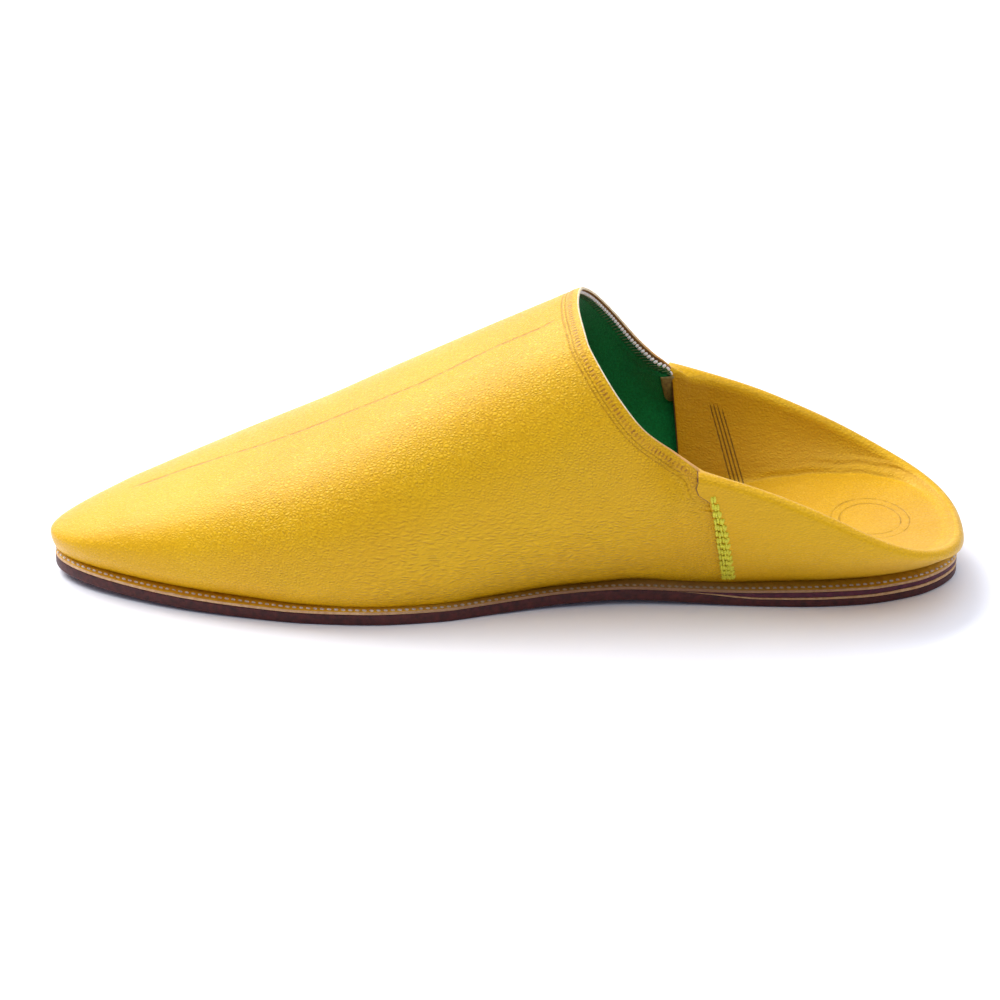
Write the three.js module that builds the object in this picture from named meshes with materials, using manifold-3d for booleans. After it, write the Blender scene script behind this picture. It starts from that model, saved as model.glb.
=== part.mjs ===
// Babouche slipper: a pointed, backless slipper of lined leather, its quarter folded in over the heel seat.
// Millimetres. +X points to the toe, +Y to the wearer's left, +Z up, and the floor is the plane z = 0.

import * as THREE from 'three';
import { mergeVertices } from 'three/addons/utils/BufferGeometryUtils.js';
import Module from 'manifold-3d';

const wasm = await Module();
wasm.setup();

// Sizes of the whole slipper
const LENGTH = 291.3; // back of the heel fold to the tip of the toe
const BALL_WIDTH = 82.2; // sole across the ball of the foot
const UPPER_WIDTH = 92; // upper across the ball, where it bulges past the sole
const INSTEP_HEIGHT = 91; // vamp at the front of the throat, above the floor
const COLLAR_HEIGHT = 53; // quarter fold where it meets the vamp, above the floor
const COLLAR_WIDTH = 82; // across the quarter, between the middles of its folds
const TOE_SPRING = 2.7;
const ARCH_LIFT = 1.9;

// Thicknesses and clearances
const GAP = 0.3; // between neighbouring pieces
const OUTSOLE = 3;
const WEDGE_HEEL = 1.9;
const WEDGE_FRONT = 0.5;
const WELT = 2.1;
const WELT_EDGE = 1; // cut edge of the welt, below its bevel
const WALL = 1.8; // leather and lining together
const MARGIN = 7; // lasting margin, turned in under the insole
const INSOLE = 2;
const INSOLE_INSET = 2.6; // insole edge inside the foot of the wall
const FOLD_RADIUS = 2.6;
const VAMP_BOW = 1.9; // how the wall bows out from its foot, 1 for a straight slope
const QUARTER_BOW = 1.9;

// Sole and foot of the upper, a row for each station. at runs from heel to toe as a share of the length.
// sole and foot are half widths as shares of half the ball width.
const SOLE_ROWS = [
  { at: 0.061, sole: 0.516, foot: 0.426 },
  { at: 0.119, sole: 0.652, foot: 0.557 },
  { at: 0.178, sole: 0.688, foot: 0.601 },
  { at: 0.291, sole: 0.662, foot: 0.598 },
  { at: 0.356, sole: 0.657, foot: 0.589 },
  { at: 0.439, sole: 0.71, foot: 0.647 },
  { at: 0.514, sole: 0.825, foot: 0.769 },
  { at: 0.576, sole: 0.949, foot: 0.9 },
  { at: 0.645, sole: 1, foot: 0.954 },
  { at: 0.713, sole: 0.971, foot: 0.905 },
  { at: 0.782, sole: 0.876, foot: 0.783 },
  { at: 0.847, sole: 0.752, foot: 0.652 },
  { at: 0.919, sole: 0.54, foot: 0.448 },
];
const SOLE_ENDS = { back: 0.005, toe: 0.996 };
const FOOT_ENDS = { back: 0.0085, toe: 0.9935 };

// Vamp sections. wide is the half width at the widest level as a share of half the upper's width, level and
// ridge are the heights of that level and of the top as shares of the instep height, and square is the
// exponent of the arch, 2 for an ellipse.
const VAMP_ROWS = [
  { at: 0.281, wide: 0.926, level: 0.55, ridge: 1.154, square: 2.6 },
  { at: 0.301, wide: 0.924, level: 0.545, ridge: 1.14, square: 2.6 },
  { at: 0.33, wide: 0.885, level: 0.5, ridge: 1.12, square: 2.6 },
  { at: 0.375, wide: 0.898, level: 0.45, ridge: 1.075, square: 2.6 },
  { at: 0.425, wide: 0.907, level: 0.418, ridge: 1.009, square: 2.6 },
  { at: 0.507, wide: 0.926, level: 0.33, ridge: 0.888, square: 2.6 },
  { at: 0.576, wide: 0.97, level: 0.256, ridge: 0.776, square: 2.6 },
  { at: 0.645, wide: 1, level: 0.204, ridge: 0.667, square: 2.6 },
  { at: 0.713, wide: 0.963, level: 0.178, ridge: 0.563, square: 2.6 },
  { at: 0.782, wide: 0.863, level: 0.168, ridge: 0.471, square: 2.55 },
  { at: 0.847, wide: 0.73, level: 0.163, ridge: 0.386, square: 2.5 },
  { at: 0.919, wide: 0.526, level: 0.16, ridge: 0.293, square: 2.45 },
  { at: 1, wide: 0, level: 0.155, ridge: 0.193, square: 2.4 },
];

// Throat edge seen from the side: height as a share of the instep height
const THROAT_ROWS = [
  { at: 0.43, height: 0.996 },
  { at: 0.4217, height: 0.989 },
  { at: 0.4147, height: 0.959 },
  { at: 0.4044, height: 0.915 },
  { at: 0.3838, height: 0.824 },
  { at: 0.3529, height: 0.702 },
  { at: 0.3186, height: 0.613 },
  { at: 0.2945, height: 0.58 },
  { at: 0.26, height: 0.545 },
];

// Quarter fold: height of its top as a share of the collar height, and how far the seat of the folded
// part floats above the insole
const FOLD_ROWS = [
  { at: 0.0, top: 0.313, float: 1.6 },
  { at: 0.07, top: 0.462, float: 2.4 },
  { at: 0.164, top: 0.719, float: 1.8 },
  { at: 0.233, top: 0.883, float: 0.9 },
  { at: 0.302, top: 1, float: 0.4 },
];
const FOLD_ENDS = { back: 0.009, square: 2.37 };

// Places along the slipper. Between the two pivots sections run straight across, and past them they fan out
// round the ends. The quarter laps over the back of the vamp, and the welt steps down in front of the wedge.
const HEEL_PIVOT = 0.147;
const VAMP_BACK = 0.281;
const QUARTER_FRONT = 0.301;
const WEDGE_TIP = 0.353;
const WEDGE_RAMP = 0.025;
const TOE_PIVOT = 0.912;

// How finely each stretch is divided. All pieces share these stations, so their facets lie parallel.
const STRETCHES = [
  { from: HEEL_PIVOT, to: VAMP_BACK, steps: 5 },
  { from: VAMP_BACK, to: QUARTER_FRONT, steps: 1 },
  { from: QUARTER_FRONT, to: WEDGE_TIP, steps: 2 },
  { from: WEDGE_TIP, to: WEDGE_TIP + WEDGE_RAMP, steps: 2 },
  { from: WEDGE_TIP + WEDGE_RAMP, to: TOE_PIVOT, steps: 17 },
];
const FAN_STEPS = 8;
const ARCH_STEPS = 9;
const WALL_STEPS = 4;
const FOLD_STEPS = 6;
const SEAT_STEPS = 7;

const along = (at) => (at - 0.5) * LENGTH;
const share = (x) => x / LENGTH + 0.5;
const clamp01 = (t) => Math.min(1, Math.max(0, t));
const smooth = (t) => clamp01(t) ** 2 * (3 - 2 * clamp01(t));

// Monotone cubic through the rows of one column
function curve(rows, column) {
  const at = rows.map((row) => row.at);
  const value = rows.map(column);
  const secant = at.slice(1).map((a, i) => (value[i + 1] - value[i]) / (a - at[i]));
  const slope = value.map((_, i) => {
    if (i === 0 || i === value.length - 1) return secant[i === 0 ? 0 : i - 1];
    const product = secant[i - 1] * secant[i];
    return product <= 0 ? 0 : (2 * product) / (secant[i - 1] + secant[i]);
  });
  return (a) => {
    const last = at.length - 2;
    const found = at.findIndex((stop) => stop > a);
    const i = found < 0 ? last : Math.max(0, Math.min(last, found - 1));
    const h = at[i + 1] - at[i];
    const t = (a - at[i]) / h;
    const hermite = value[i] * (1 + 2 * t) * (1 - t) ** 2 + value[i + 1] * t * t * (3 - 2 * t);
    return hermite + h * (slope[i] * t * (1 - t) ** 2 - slope[i + 1] * t * t * (1 - t));
  };
}

// Outline that is round at both ends: its squared half width is interpolated, so it closes like a parabola
function outline(rows, column, width, ends) {
  const tips = [];
  if (ends.back !== undefined) tips.push({ at: ends.back, tip: true });
  tips.push(...rows);
  if (ends.toe !== undefined) tips.push({ at: ends.toe, tip: true });
  const squared = curve(tips, (row) => (row.tip ? 0 : (row[column] * width) / 2) ** 2);
  const step = 1e-3;
  return {
    back: ends.back,
    toe: ends.toe,
    half: (at) => Math.sqrt(Math.max(0, squared(at))),
    squareSlope: (at) => (squared(at + step) - squared(at - step)) / (2 * step * LENGTH),
  };
}

const soleOutline = outline(SOLE_ROWS, 'sole', BALL_WIDTH, SOLE_ENDS);
const footOutline = outline(SOLE_ROWS, 'foot', BALL_WIDTH, FOOT_ENDS);
const wideOutline = outline(VAMP_ROWS, 'wide', UPPER_WIDTH, {});
wideOutline.toe = 1;

// Middle of the quarter fold seen from above: straight sides closed by a squarish half ellipse
const foldOutline = {
  back: FOLD_ENDS.back,
  half: (at) => {
    const depth = clamp01((HEEL_PIVOT - at) / (HEEL_PIVOT - FOLD_ENDS.back));
    return (COLLAR_WIDTH / 2) * (1 - depth ** FOLD_ENDS.square) ** (1 / FOLD_ENDS.square);
  },
};

const levelAt = curve(VAMP_ROWS, (row) => row.level * INSTEP_HEIGHT);
const ridgeAt = curve(VAMP_ROWS, (row) => row.ridge * INSTEP_HEIGHT);
const squareAt = curve(VAMP_ROWS, (row) => row.square);
const foldTopAt = curve(FOLD_ROWS, (row) => row.top * COLLAR_HEIGHT);
const floatAt = curve(FOLD_ROWS, (row) => row.float);

// Heights of the layers of the sole at a point x millimetres from the middle
const ARCH = { from: 0.22, to: 0.55 };
const TOE_ROLL = 0.715;
function groundLift(x) {
  const at = share(x);
  if (at > TOE_ROLL) return TOE_SPRING * ((at - TOE_ROLL) / (SOLE_ENDS.toe - TOE_ROLL)) ** 1.7;
  if (at < ARCH.from || at > ARCH.to) return 0;
  return ARCH_LIFT * Math.sin((Math.PI * (at - ARCH.from)) / (ARCH.to - ARCH.from)) ** 2;
}
const outsoleTop = (x) => groundLift(x) + OUTSOLE;
function wedgeThickness(x) {
  return WEDGE_FRONT + (WEDGE_HEEL - WEDGE_FRONT) * smooth((WEDGE_TIP - share(x)) / (WEDGE_TIP - HEEL_PIVOT));
}
function wedgeLift(x) {
  const ramp = smooth((WEDGE_TIP + WEDGE_RAMP - share(x)) / WEDGE_RAMP);
  return (GAP + wedgeThickness(x)) * ramp;
}
const weltBottom = (x) => outsoleTop(x) + GAP + wedgeLift(x);
const footHeight = (x) => weltBottom(x) + WELT + GAP;
const insoleTop = (x) => footHeight(x) + WALL + GAP + INSOLE;
const seatHeight = (x) => insoleTop(x) + GAP + WALL + floatAt(share(x));

// Stations from the back of the heel to the tip of the toe along one side. In a fan, turn goes from 0 at
// the pivot to 1 at the tip, and spine is the point on the middle line that a section starts from.
const turns = Array.from({ length: FAN_STEPS }, (_, i) => Math.sin((((i + 1) / FAN_STEPS) * Math.PI) / 2));
const STATIONS = [
  ...turns.toReversed().map((turn) => ({ fan: 'back', pivot: HEEL_PIVOT, turn })),
  { pivot: HEEL_PIVOT },
  ...STRETCHES.flatMap(({ from, to, steps }) =>
    Array.from({ length: steps }, (_, i) => ({ pivot: from + ((to - from) * (i + 1)) / steps })),
  ),
  ...turns.map((turn) => ({ fan: 'toe', pivot: TOE_PIVOT, turn })),
];
const stationsUpTo = (at) => STATIONS.filter((station) => station.pivot < at + 1e-6);
const stationsFrom = (at) => STATIONS.filter((station) => station.pivot > at - 1e-6);
const stationAt = (shape, station) =>
  station.fan ? station.pivot + (shape[station.fan] - station.pivot) * station.turn : station.pivot;

function edgePoint(shape, station, side) {
  const at = stationAt(shape, station);
  const half = station.turn === 1 ? 0 : shape.half(at);
  return new THREE.Vector2(along(at), side * half);
}
const spinePoint = (station) => new THREE.Vector2(along(station.pivot), 0);

// A point on an outline, moved in square to it
function inset(shape, station, side, distance) {
  const edge = edgePoint(shape, station, side);
  const inward = new THREE.Vector2(shape.squareSlope(stationAt(shape, station)) / 2, -edge.y);
  return edge.addScaledVector(inward.normalize(), distance);
}

// Turns a list of triangles into an indexed geometry with shared corners and no empty triangles
function weld(triangles) {
  const geometry = new THREE.BufferGeometry();
  const numbers = triangles.flatMap((corners) => corners.flatMap((corner) => corner.toArray()));
  geometry.setAttribute('position', new THREE.Float32BufferAttribute(numbers, 3));
  const welded = mergeVertices(geometry, 1e-3);
  const index = [];
  for (let i = 0; i < welded.index.count; i += 3) {
    const [a, b, c] = [0, 1, 2].map((k) => welded.index.getX(i + k));
    if (a !== b && b !== c && c !== a) index.push(a, b, c);
  }
  welded.setIndex(index);
  return welded;
}

function volume(geometry) {
  const place = geometry.attributes.position;
  const corner = (i) => new THREE.Vector3().fromBufferAttribute(place, geometry.index.getX(i));
  let total = 0;
  for (let i = 0; i < geometry.index.count; i += 3) {
    total += corner(i).dot(corner(i + 1).cross(corner(i + 2))) / 6;
  }
  return total;
}

function faceOutwards(geometry) {
  if (volume(geometry) > 0) return geometry;
  const flipped = Array.from(geometry.index.array);
  for (let i = 0; i < flipped.length; i += 3) {
    [flipped[i], flipped[i + 1]] = [flipped[i + 1], flipped[i]];
  }
  geometry.setIndex(flipped);
  return geometry;
}

const quad = (a, b, c, d) => [
  [a, b, c],
  [a, c, d],
];

// Triangles between neighbouring columns of points
function strips(columns) {
  return columns.slice(1).flatMap((column, i) =>
    column.slice(1).flatMap((point, j) => quad(columns[i][j], columns[i][j + 1], point, column[j])),
  );
}

// A closed loop round the slipper: up the left side to the toe and back down the right side
function loop(stations, place) {
  const left = stations.map((station) => place(station, 1));
  const right = stations.map((station) => place(station, -1));
  return { left, right };
}
const raise = (point, height) => new THREE.Vector3(point.x, point.y, height);

// Plate whose loops are stacked from its underside to its top and closed across at both
function plate(loops) {
  const across = ({ left, right }) => strips(left.map((point, i) => [point, right[i]]));
  const reverse = (triangles) => triangles.map(([a, b, c]) => [a, c, b]);
  const wall = (key) => strips(loops.map((ring) => ring[key]));
  const ends = loops.map(({ left, right }) => [right[0], left[0]]);
  const fronts = loops.map(({ left, right }) => [left.at(-1), right.at(-1)]);
  const triangles = [
    ...across(loops[0]),
    ...reverse(across(loops.at(-1))),
    ...wall('left'),
    ...reverse(wall('right')),
    ...strips(ends),
    ...strips(fronts),
  ];
  return faceOutwards(weld(triangles));
}

// Ring whose loops run round its profile and come back to the first
function ring(loops) {
  const closed = [...loops, loops[0]];
  const wall = (key) => strips(closed.map((turn) => turn[key]));
  const triangles = [...wall('left'), ...wall('right').map(([a, b, c]) => [a, c, b])];
  return faceOutwards(weld(triangles));
}

// The step that moves every one of these faces outwards by 1, by least squares
function offsetDirection(normals) {
  const { x, y, z } = normals.reduce((sum, n) => sum.add(n), new THREE.Vector3());
  const steady = 0.01 * normals.length;
  const moment = (a, b) => normals.reduce((sum, n) => sum + n[a] * n[b], a === b ? steady : 0);
  const matrix = new THREE.Matrix3(
    ...[moment('x', 'x'), moment('x', 'y'), moment('x', 'z')],
    ...[moment('y', 'x'), moment('y', 'y'), moment('y', 'z')],
    ...[moment('z', 'x'), moment('z', 'y'), moment('z', 'z')],
  );
  return new THREE.Vector3(x, y, z).applyMatrix3(matrix.invert()).multiplyScalar(1.01);
}

// Gives a sheet its thickness: a second skin on the side away from its normals, joined along the rim
function thicken(skin, thickness) {
  const index = skin.index.array;
  const place = skin.attributes.position;
  const point = (i) => new THREE.Vector3().fromBufferAttribute(place, i);
  const normals = Array.from({ length: place.count }, () => []);
  const open = new Map();
  for (let i = 0; i < index.length; i += 3) {
    const corners = [index[i], index[i + 1], index[i + 2]];
    const [a, b, c] = corners.map(point);
    const normal = b.clone().sub(a).cross(c.clone().sub(a)).normalize();
    corners.forEach((corner) => normals[corner].push(normal));
    corners.forEach((from, k) => {
      const to = corners[(k + 1) % 3];
      if (!open.delete(`${to},${from}`)) open.set(`${from},${to}`, [from, to]);
    });
  }
  const inner = normals.map((around, i) => point(i).addScaledVector(offsetDirection(around), -thickness));
  const triangles = [];
  for (let i = 0; i < index.length; i += 3) {
    const [a, b, c] = [index[i], index[i + 1], index[i + 2]];
    triangles.push([point(a), point(b), point(c)], [inner[a], inner[c], inner[b]]);
  }
  for (const [from, to] of open.values()) {
    triangles.push(...quad(point(to), point(from), inner[from], inner[to]));
  }
  return faceOutwards(weld(triangles));
}

function toManifold(geometry) {
  const mesh = new wasm.Mesh({
    numProp: 3,
    vertProperties: Float32Array.from(geometry.attributes.position.array),
    triVerts: Uint32Array.from(geometry.index.array),
  });
  return new wasm.Manifold(mesh);
}

function fromManifold(body) {
  const { vertProperties, triVerts } = body.getMesh();
  const geometry = new THREE.BufferGeometry();
  geometry.setAttribute('position', new THREE.Float32BufferAttribute(vertProperties, 3));
  geometry.setIndex(Array.from(triVerts));
  return geometry;
}

const flatLoop = (shape, distance, height) => (station, side) => {
  const point = inset(shape, station, side, distance);
  return raise(point, height(point.x));
};

// Outsole: the whole outline, with arch and toe spring
function outsole() {
  return plate([
    loop(STATIONS, flatLoop(soleOutline, 0, groundLift)),
    loop(STATIONS, flatLoop(soleOutline, 0, outsoleTop)),
  ]);
}

// Heel wedge: thickest under the heel and skived away at the waist
function heelWedge() {
  const stations = stationsUpTo(WEDGE_TIP);
  const bottom = (x) => outsoleTop(x) + GAP;
  return plate([
    loop(stations, flatLoop(soleOutline, 0, bottom)),
    loop(stations, flatLoop(soleOutline, 0, (x) => bottom(x) + wedgeThickness(x))),
  ]);
}

// Welt: a ring with a low cut edge, bevelled up to the foot of the upper
function welt() {
  const topOf = (x) => weltBottom(x) + WELT;
  return ring([
    loop(STATIONS, flatLoop(soleOutline, 0, weltBottom)),
    loop(STATIONS, flatLoop(soleOutline, 0, (x) => weltBottom(x) + WELT_EDGE)),
    loop(STATIONS, flatLoop(footOutline, 0, topOf)),
    loop(STATIONS, flatLoop(footOutline, MARGIN, topOf)),
    loop(STATIONS, flatLoop(footOutline, MARGIN, weltBottom)),
  ]);
}

// Insole: a plate over the lasting margin, with a core that fills the inside of the margin and the welt
function insole() {
  const plateBottom = (x) => insoleTop(x) - INSOLE;
  const coreInset = MARGIN + GAP;
  return plate([
    loop(STATIONS, flatLoop(footOutline, coreInset, weltBottom)),
    loop(STATIONS, flatLoop(footOutline, coreInset, plateBottom)),
    loop(STATIONS, flatLoop(footOutline, INSOLE_INSET, plateBottom)),
    loop(STATIONS, flatLoop(footOutline, INSOLE_INSET, insoleTop)),
  ]);
}

// Lower part of a section: the lasting margin, then the wall from its foot out to a wider, higher point
function wallPoints(station, side, outer, height, bow) {
  const foot = edgePoint(footOutline, station, side);
  const points = [flatLoop(footOutline, MARGIN, footHeight)(station, side)];
  for (let i = 0; i < WALL_STEPS; i += 1) {
    const down = 1 - i / WALL_STEPS;
    const point = outer.clone().lerp(foot, down ** bow);
    points.push(raise(point, THREE.MathUtils.lerp(height, footHeight(foot.x), down)));
  }
  return points;
}

// Vamp section: margin, wall, then a squarish arch up to the ridge over the spine
function vampSection(station, side) {
  const edge = edgePoint(wideOutline, station, side);
  const level = levelAt(share(edge.x));
  const points = wallPoints(station, side, edge, level, VAMP_BOW);
  const spine = spinePoint(station);
  for (let i = 0; i <= ARCH_STEPS; i += 1) {
    const angle = (Math.PI / 2) * (1 - i / ARCH_STEPS);
    const power = 2 / squareAt(station.pivot);
    const reach = Math.sin(angle) ** power;
    const rise = i === 0 ? 0 : Math.cos(angle) ** power;
    const point = spine.clone().lerp(edge, i === ARCH_STEPS ? 0 : reach);
    points.push(raise(point, level + (ridgeAt(share(point.x)) - level) * rise));
  }
  return points;
}

// Quarter section: margin and wall, over the fold, down the inside and across the heel seat to the spine
function quarterSection(station, side) {
  const fold = edgePoint(foldOutline, station, side);
  const spine = spinePoint(station);
  const outward = fold.clone().sub(spine).normalize();
  const centre = foldTopAt(share(fold.x)) - FOLD_RADIUS;
  const outer = fold.clone().addScaledVector(outward, FOLD_RADIUS);
  const points = wallPoints(station, side, outer, centre, QUARTER_BOW);
  const turn = station.fan ? station.turn ** 2 : 0;
  const sweep = THREE.MathUtils.degToRad(THREE.MathUtils.lerp(168, 100, turn));
  for (let i = 0; i <= FOLD_STEPS; i += 1) {
    const angle = (sweep * i) / FOLD_STEPS;
    const point = fold.clone().addScaledVector(outward, FOLD_RADIUS * Math.cos(angle));
    points.push(raise(point, centre + FOLD_RADIUS * Math.sin(angle)));
  }
  const start = points.at(-1);
  const seat = seatHeight(spine.x);
  const drop = Math.max(4, (start.z - seat) * 0.95);
  const heading = new THREE.Vector3(
    outward.x * -Math.sin(sweep),
    outward.y * -Math.sin(sweep),
    Math.cos(sweep),
  );
  const flat = spine.clone().addScaledVector(outward, fold.distanceTo(spine) * 0.62);
  const path = new THREE.CubicBezierCurve3(
    start,
    start.clone().addScaledVector(heading, drop),
    raise(flat, seatHeight(flat.x)),
    raise(spine, seat),
  );
  for (let i = 1; i <= SEAT_STEPS; i += 1) {
    points.push(path.getPoint(i / SEAT_STEPS));
  }
  return points;
}

function sheet(stations, section) {
  const left = strips(stations.map((station) => section(station, 1)));
  const right = strips(stations.map((station) => section(station, -1)));
  return weld([...left, ...right.map(([a, b, c]) => [a, c, b])]);
}

// Everything above the throat edge, as wide as the slipper
function throatCut() {
  const height = curve([...THROAT_ROWS].reverse(), (row) => row.height * INSTEP_HEIGHT);
  const front = THROAT_ROWS[0].at;
  const back = THROAT_ROWS.at(-1).at;
  const above = INSTEP_HEIGHT * 1.5;
  const shape = new THREE.Shape([new THREE.Vector2(along(front), above)]);
  const steps = 36;
  for (let i = 0; i <= steps; i += 1) {
    const at = front + (back - front) * (i / steps) ** 1.6;
    shape.lineTo(along(at), height(at));
  }
  shape.lineTo(along(back), above);
  const block = new THREE.ExtrudeGeometry(shape, { depth: UPPER_WIDTH * 2, bevelEnabled: false, steps: 1 });
  block.rotateX(Math.PI / 2);
  block.translate(0, UPPER_WIDTH, 0);
  block.deleteAttribute('normal');
  block.deleteAttribute('uv');
  return faceOutwards(mergeVertices(block, 1e-3));
}

function upper() {
  const vamp = toManifold(thicken(sheet(stationsFrom(VAMP_BACK), vampSection), WALL));
  const quarter = toManifold(thicken(sheet(stationsUpTo(QUARTER_FRONT), quarterSection), WALL));
  return fromManifold(vamp.subtract(toManifold(throatCut())).add(quarter));
}

const group = new THREE.Group();
function addPiece(name, geometry, finish) {
  const mesh = new THREE.Mesh(geometry, new THREE.MeshStandardMaterial(finish));
  mesh.name = name;
  group.add(mesh);
}

addPiece('outsole', outsole(), { color: 0x4a1f22, roughness: 0.5, metalness: 0 });
addPiece('heel_wedge', heelWedge(), { color: 0x5c2335, roughness: 0.5, metalness: 0 });
addPiece('welt', welt(), { color: 0xc9a24a, roughness: 0.6, metalness: 0 });
addPiece('insole', insole(), { color: 0xd8a93a, roughness: 0.6, metalness: 0 });
addPiece('upper', upper(), { color: 0xe6b41a, roughness: 0.45, metalness: 0 });

export default group;
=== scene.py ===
import bpy
import numpy as np
from functools import partial, reduce
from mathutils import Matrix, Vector


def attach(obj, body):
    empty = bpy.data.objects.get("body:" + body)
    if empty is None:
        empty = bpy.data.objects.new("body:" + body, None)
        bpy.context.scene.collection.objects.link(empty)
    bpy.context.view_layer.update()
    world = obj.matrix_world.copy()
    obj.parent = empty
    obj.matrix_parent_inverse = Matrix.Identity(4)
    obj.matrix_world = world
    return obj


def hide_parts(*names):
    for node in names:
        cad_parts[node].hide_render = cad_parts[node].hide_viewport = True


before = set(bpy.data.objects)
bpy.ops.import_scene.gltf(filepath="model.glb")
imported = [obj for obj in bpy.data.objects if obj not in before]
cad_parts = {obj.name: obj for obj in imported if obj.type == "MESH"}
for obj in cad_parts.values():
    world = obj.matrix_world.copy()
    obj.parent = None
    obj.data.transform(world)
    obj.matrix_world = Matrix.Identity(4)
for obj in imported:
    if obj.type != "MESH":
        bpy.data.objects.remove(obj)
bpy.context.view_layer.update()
rng = np.random.default_rng(11)
join = np.concatenate
MM = 0.001
SHARP_ANGLE = 50
MIRROR = np.array([1, -1, 1])

# Sizes of the slipper, as in its solids
LENGTH = 291.3
BALL_WIDTH = 82.2
UPPER_WIDTH = 92
INSTEP_HEIGHT = 91
COLLAR_HEIGHT = 53
COLLAR_WIDTH = 82
TOE_SPRING = 2.7
ARCH_LIFT = 1.9
GAP = 0.3
OUTSOLE = 3
WEDGE_HEEL = 1.9
WEDGE_FRONT = 0.5
WELT = 2.1
WALL = 1.8
MARGIN = 7
INSOLE = 2
INSOLE_INSET = 2.6
FOLD_RADIUS = 2.6
WALL_BOW = 1.9
WALL_BOW_BACK = 0.8

# Shares of the length
SOLE_BACK, SOLE_TOE = 0.005, 0.996
HEEL_PIVOT, TOE_PIVOT = 0.147, 0.912
WEDGE_TIP, WEDGE_RAMP = 0.353, 0.06
SPRING_START = 0.715
ARCH_START, ARCH_RUN = 0.22, 0.33

# Share of the length, width of the sole, width of the foot
SOLE_AT, SOLE_WIDE, FOOT_WIDE = np.array([
    (0.061, 0.516, 0.426), (0.119, 0.652, 0.557), (0.178, 0.688, 0.601), (0.291, 0.662, 0.598),
    (0.356, 0.657, 0.589), (0.439, 0.71, 0.647), (0.514, 0.825, 0.769), (0.576, 0.949, 0.9),
    (0.645, 1, 0.954), (0.713, 0.971, 0.905), (0.782, 0.876, 0.783), (0.847, 0.752, 0.652),
    (0.919, 0.54, 0.448),
]).T
# Share of the length, width, height of the widest point, height of the ridge, power of the section's curve
VAMP_AT, VAMP_WIDE, VAMP_LEVEL, VAMP_RIDGE, VAMP_SQUARE = np.array([
    (0.22, 0.922, 0.5, 1.2, 2.6), (0.281, 0.926, 0.55, 1.154, 2.6), (0.301, 0.924, 0.545, 1.14, 2.6),
    (0.33, 0.885, 0.5, 1.12, 2.6), (0.375, 0.898, 0.45, 1.075, 2.6), (0.425, 0.907, 0.418, 1.009, 2.6),
    (0.507, 0.926, 0.33, 0.888, 2.6), (0.576, 0.97, 0.256, 0.776, 2.6), (0.645, 1, 0.204, 0.667, 2.6),
    (0.713, 0.963, 0.178, 0.563, 2.6), (0.782, 0.863, 0.168, 0.471, 2.55),
    (0.847, 0.73, 0.163, 0.386, 2.5), (0.919, 0.526, 0.16, 0.293, 2.45), (1, 0, 0.155, 0.193, 2.4),
]).T
# Share of the length, height of the throat's edge
THROAT_AT, THROAT_HEIGHT = np.array([
    (0.2, 0.4), (0.26, 0.44), (0.285, 0.485), (0.294, 0.53), (0.2995, 0.58), (0.3186, 0.613), (0.3529, 0.702),
    (0.3838, 0.824), (0.4044, 0.915), (0.4147, 0.959), (0.4217, 0.989), (0.43, 0.996), (0.4303, 1.2),
]).T
# Share of the length, top of the fold
FOLD_AT, FOLD_TOP = np.array([
    (0.0, 0.313), (0.07, 0.462), (0.164, 0.719), (0.233, 0.883), (0.302, 1), (0.32, 1.02),
]).T


def along(at):
    return (at - 0.5) * LENGTH


def share(x):
    return x / LENGTH + 0.5


def ease(value, start, end):
    """From 0 at the start to 1 at the end, which may be the lower one."""
    t = np.clip((value - start) / (end - start), 0, 1)
    return t * t * (3 - 2 * t)


def bell(value, centre, width):
    return np.exp(-(((value - centre) / width) ** 2))


def mix(a, b, t):
    return a + (b - a) * t


def unit(v):
    return v / np.maximum(np.linalg.norm(v, axis=-1, keepdims=True), 1e-12)


def axes(points):
    return np.moveaxis(points, -1, 0)


def run_along(line):
    """Length of a line up to each of its points."""
    return join([[0], np.cumsum(np.linalg.norm(np.diff(line, axis=0), axis=1))])


def interpolate(at, stops, line):
    """Points of a line whose own points stand at the stops."""
    return np.stack([np.interp(at, stops, line[:, k]) for k in range(3)], -1)


def curve(at, value):
    """Monotone cubic through the stops."""
    at, value = np.asarray(at, float), np.asarray(value, float)
    secant = np.diff(value) / np.diff(at)
    product = secant[:-1] * secant[1:]
    total = np.where(product > 0, secant[:-1] + secant[1:], 1)
    slope = join([secant[:1], np.where(product > 0, 2 * product / total, 0), secant[-1:]])

    def read(a):
        i = np.clip(np.searchsorted(at, a, side="right") - 1, 0, len(at) - 2)
        h = at[i + 1] - at[i]
        t = (a - at[i]) / h
        values = value[i] * (1 + 2 * t) * (1 - t) ** 2 + value[i + 1] * t * t * (3 - 2 * t)
        return values + h * (slope[i] * t * (1 - t) ** 2 - slope[i + 1] * t * t * (1 - t))

    return read


class Outline:
    """Half width along the slipper, round at the ends: its square is what is interpolated."""

    def __init__(self, at, width, back=None, toe=1):
        stops = list(zip(at, np.square(width / 2)))
        if back is not None:
            stops.insert(0, (back, 0))
        if toe > at[-1]:
            stops.append((toe, 0))
        self.squared = curve(*zip(*stops))
        self.back, self.toe = back, toe

    def half(self, at):
        return np.sqrt(np.maximum(0, self.squared(at)))

    def slope(self, at):
        return (self.squared(at + 1e-3) - self.squared(at - 1e-3)) / (2e-3 * LENGTH)


class FoldOutline:
    """Middle of the quarter's fold seen from above."""

    back, square = 0.009, 2.37

    def half(self, at):
        depth = np.clip((HEEL_PIVOT - at) / (HEEL_PIVOT - self.back), 0, 1)
        return COLLAR_WIDTH / 2 * (1 - depth**self.square) ** (1 / self.square)


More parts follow.
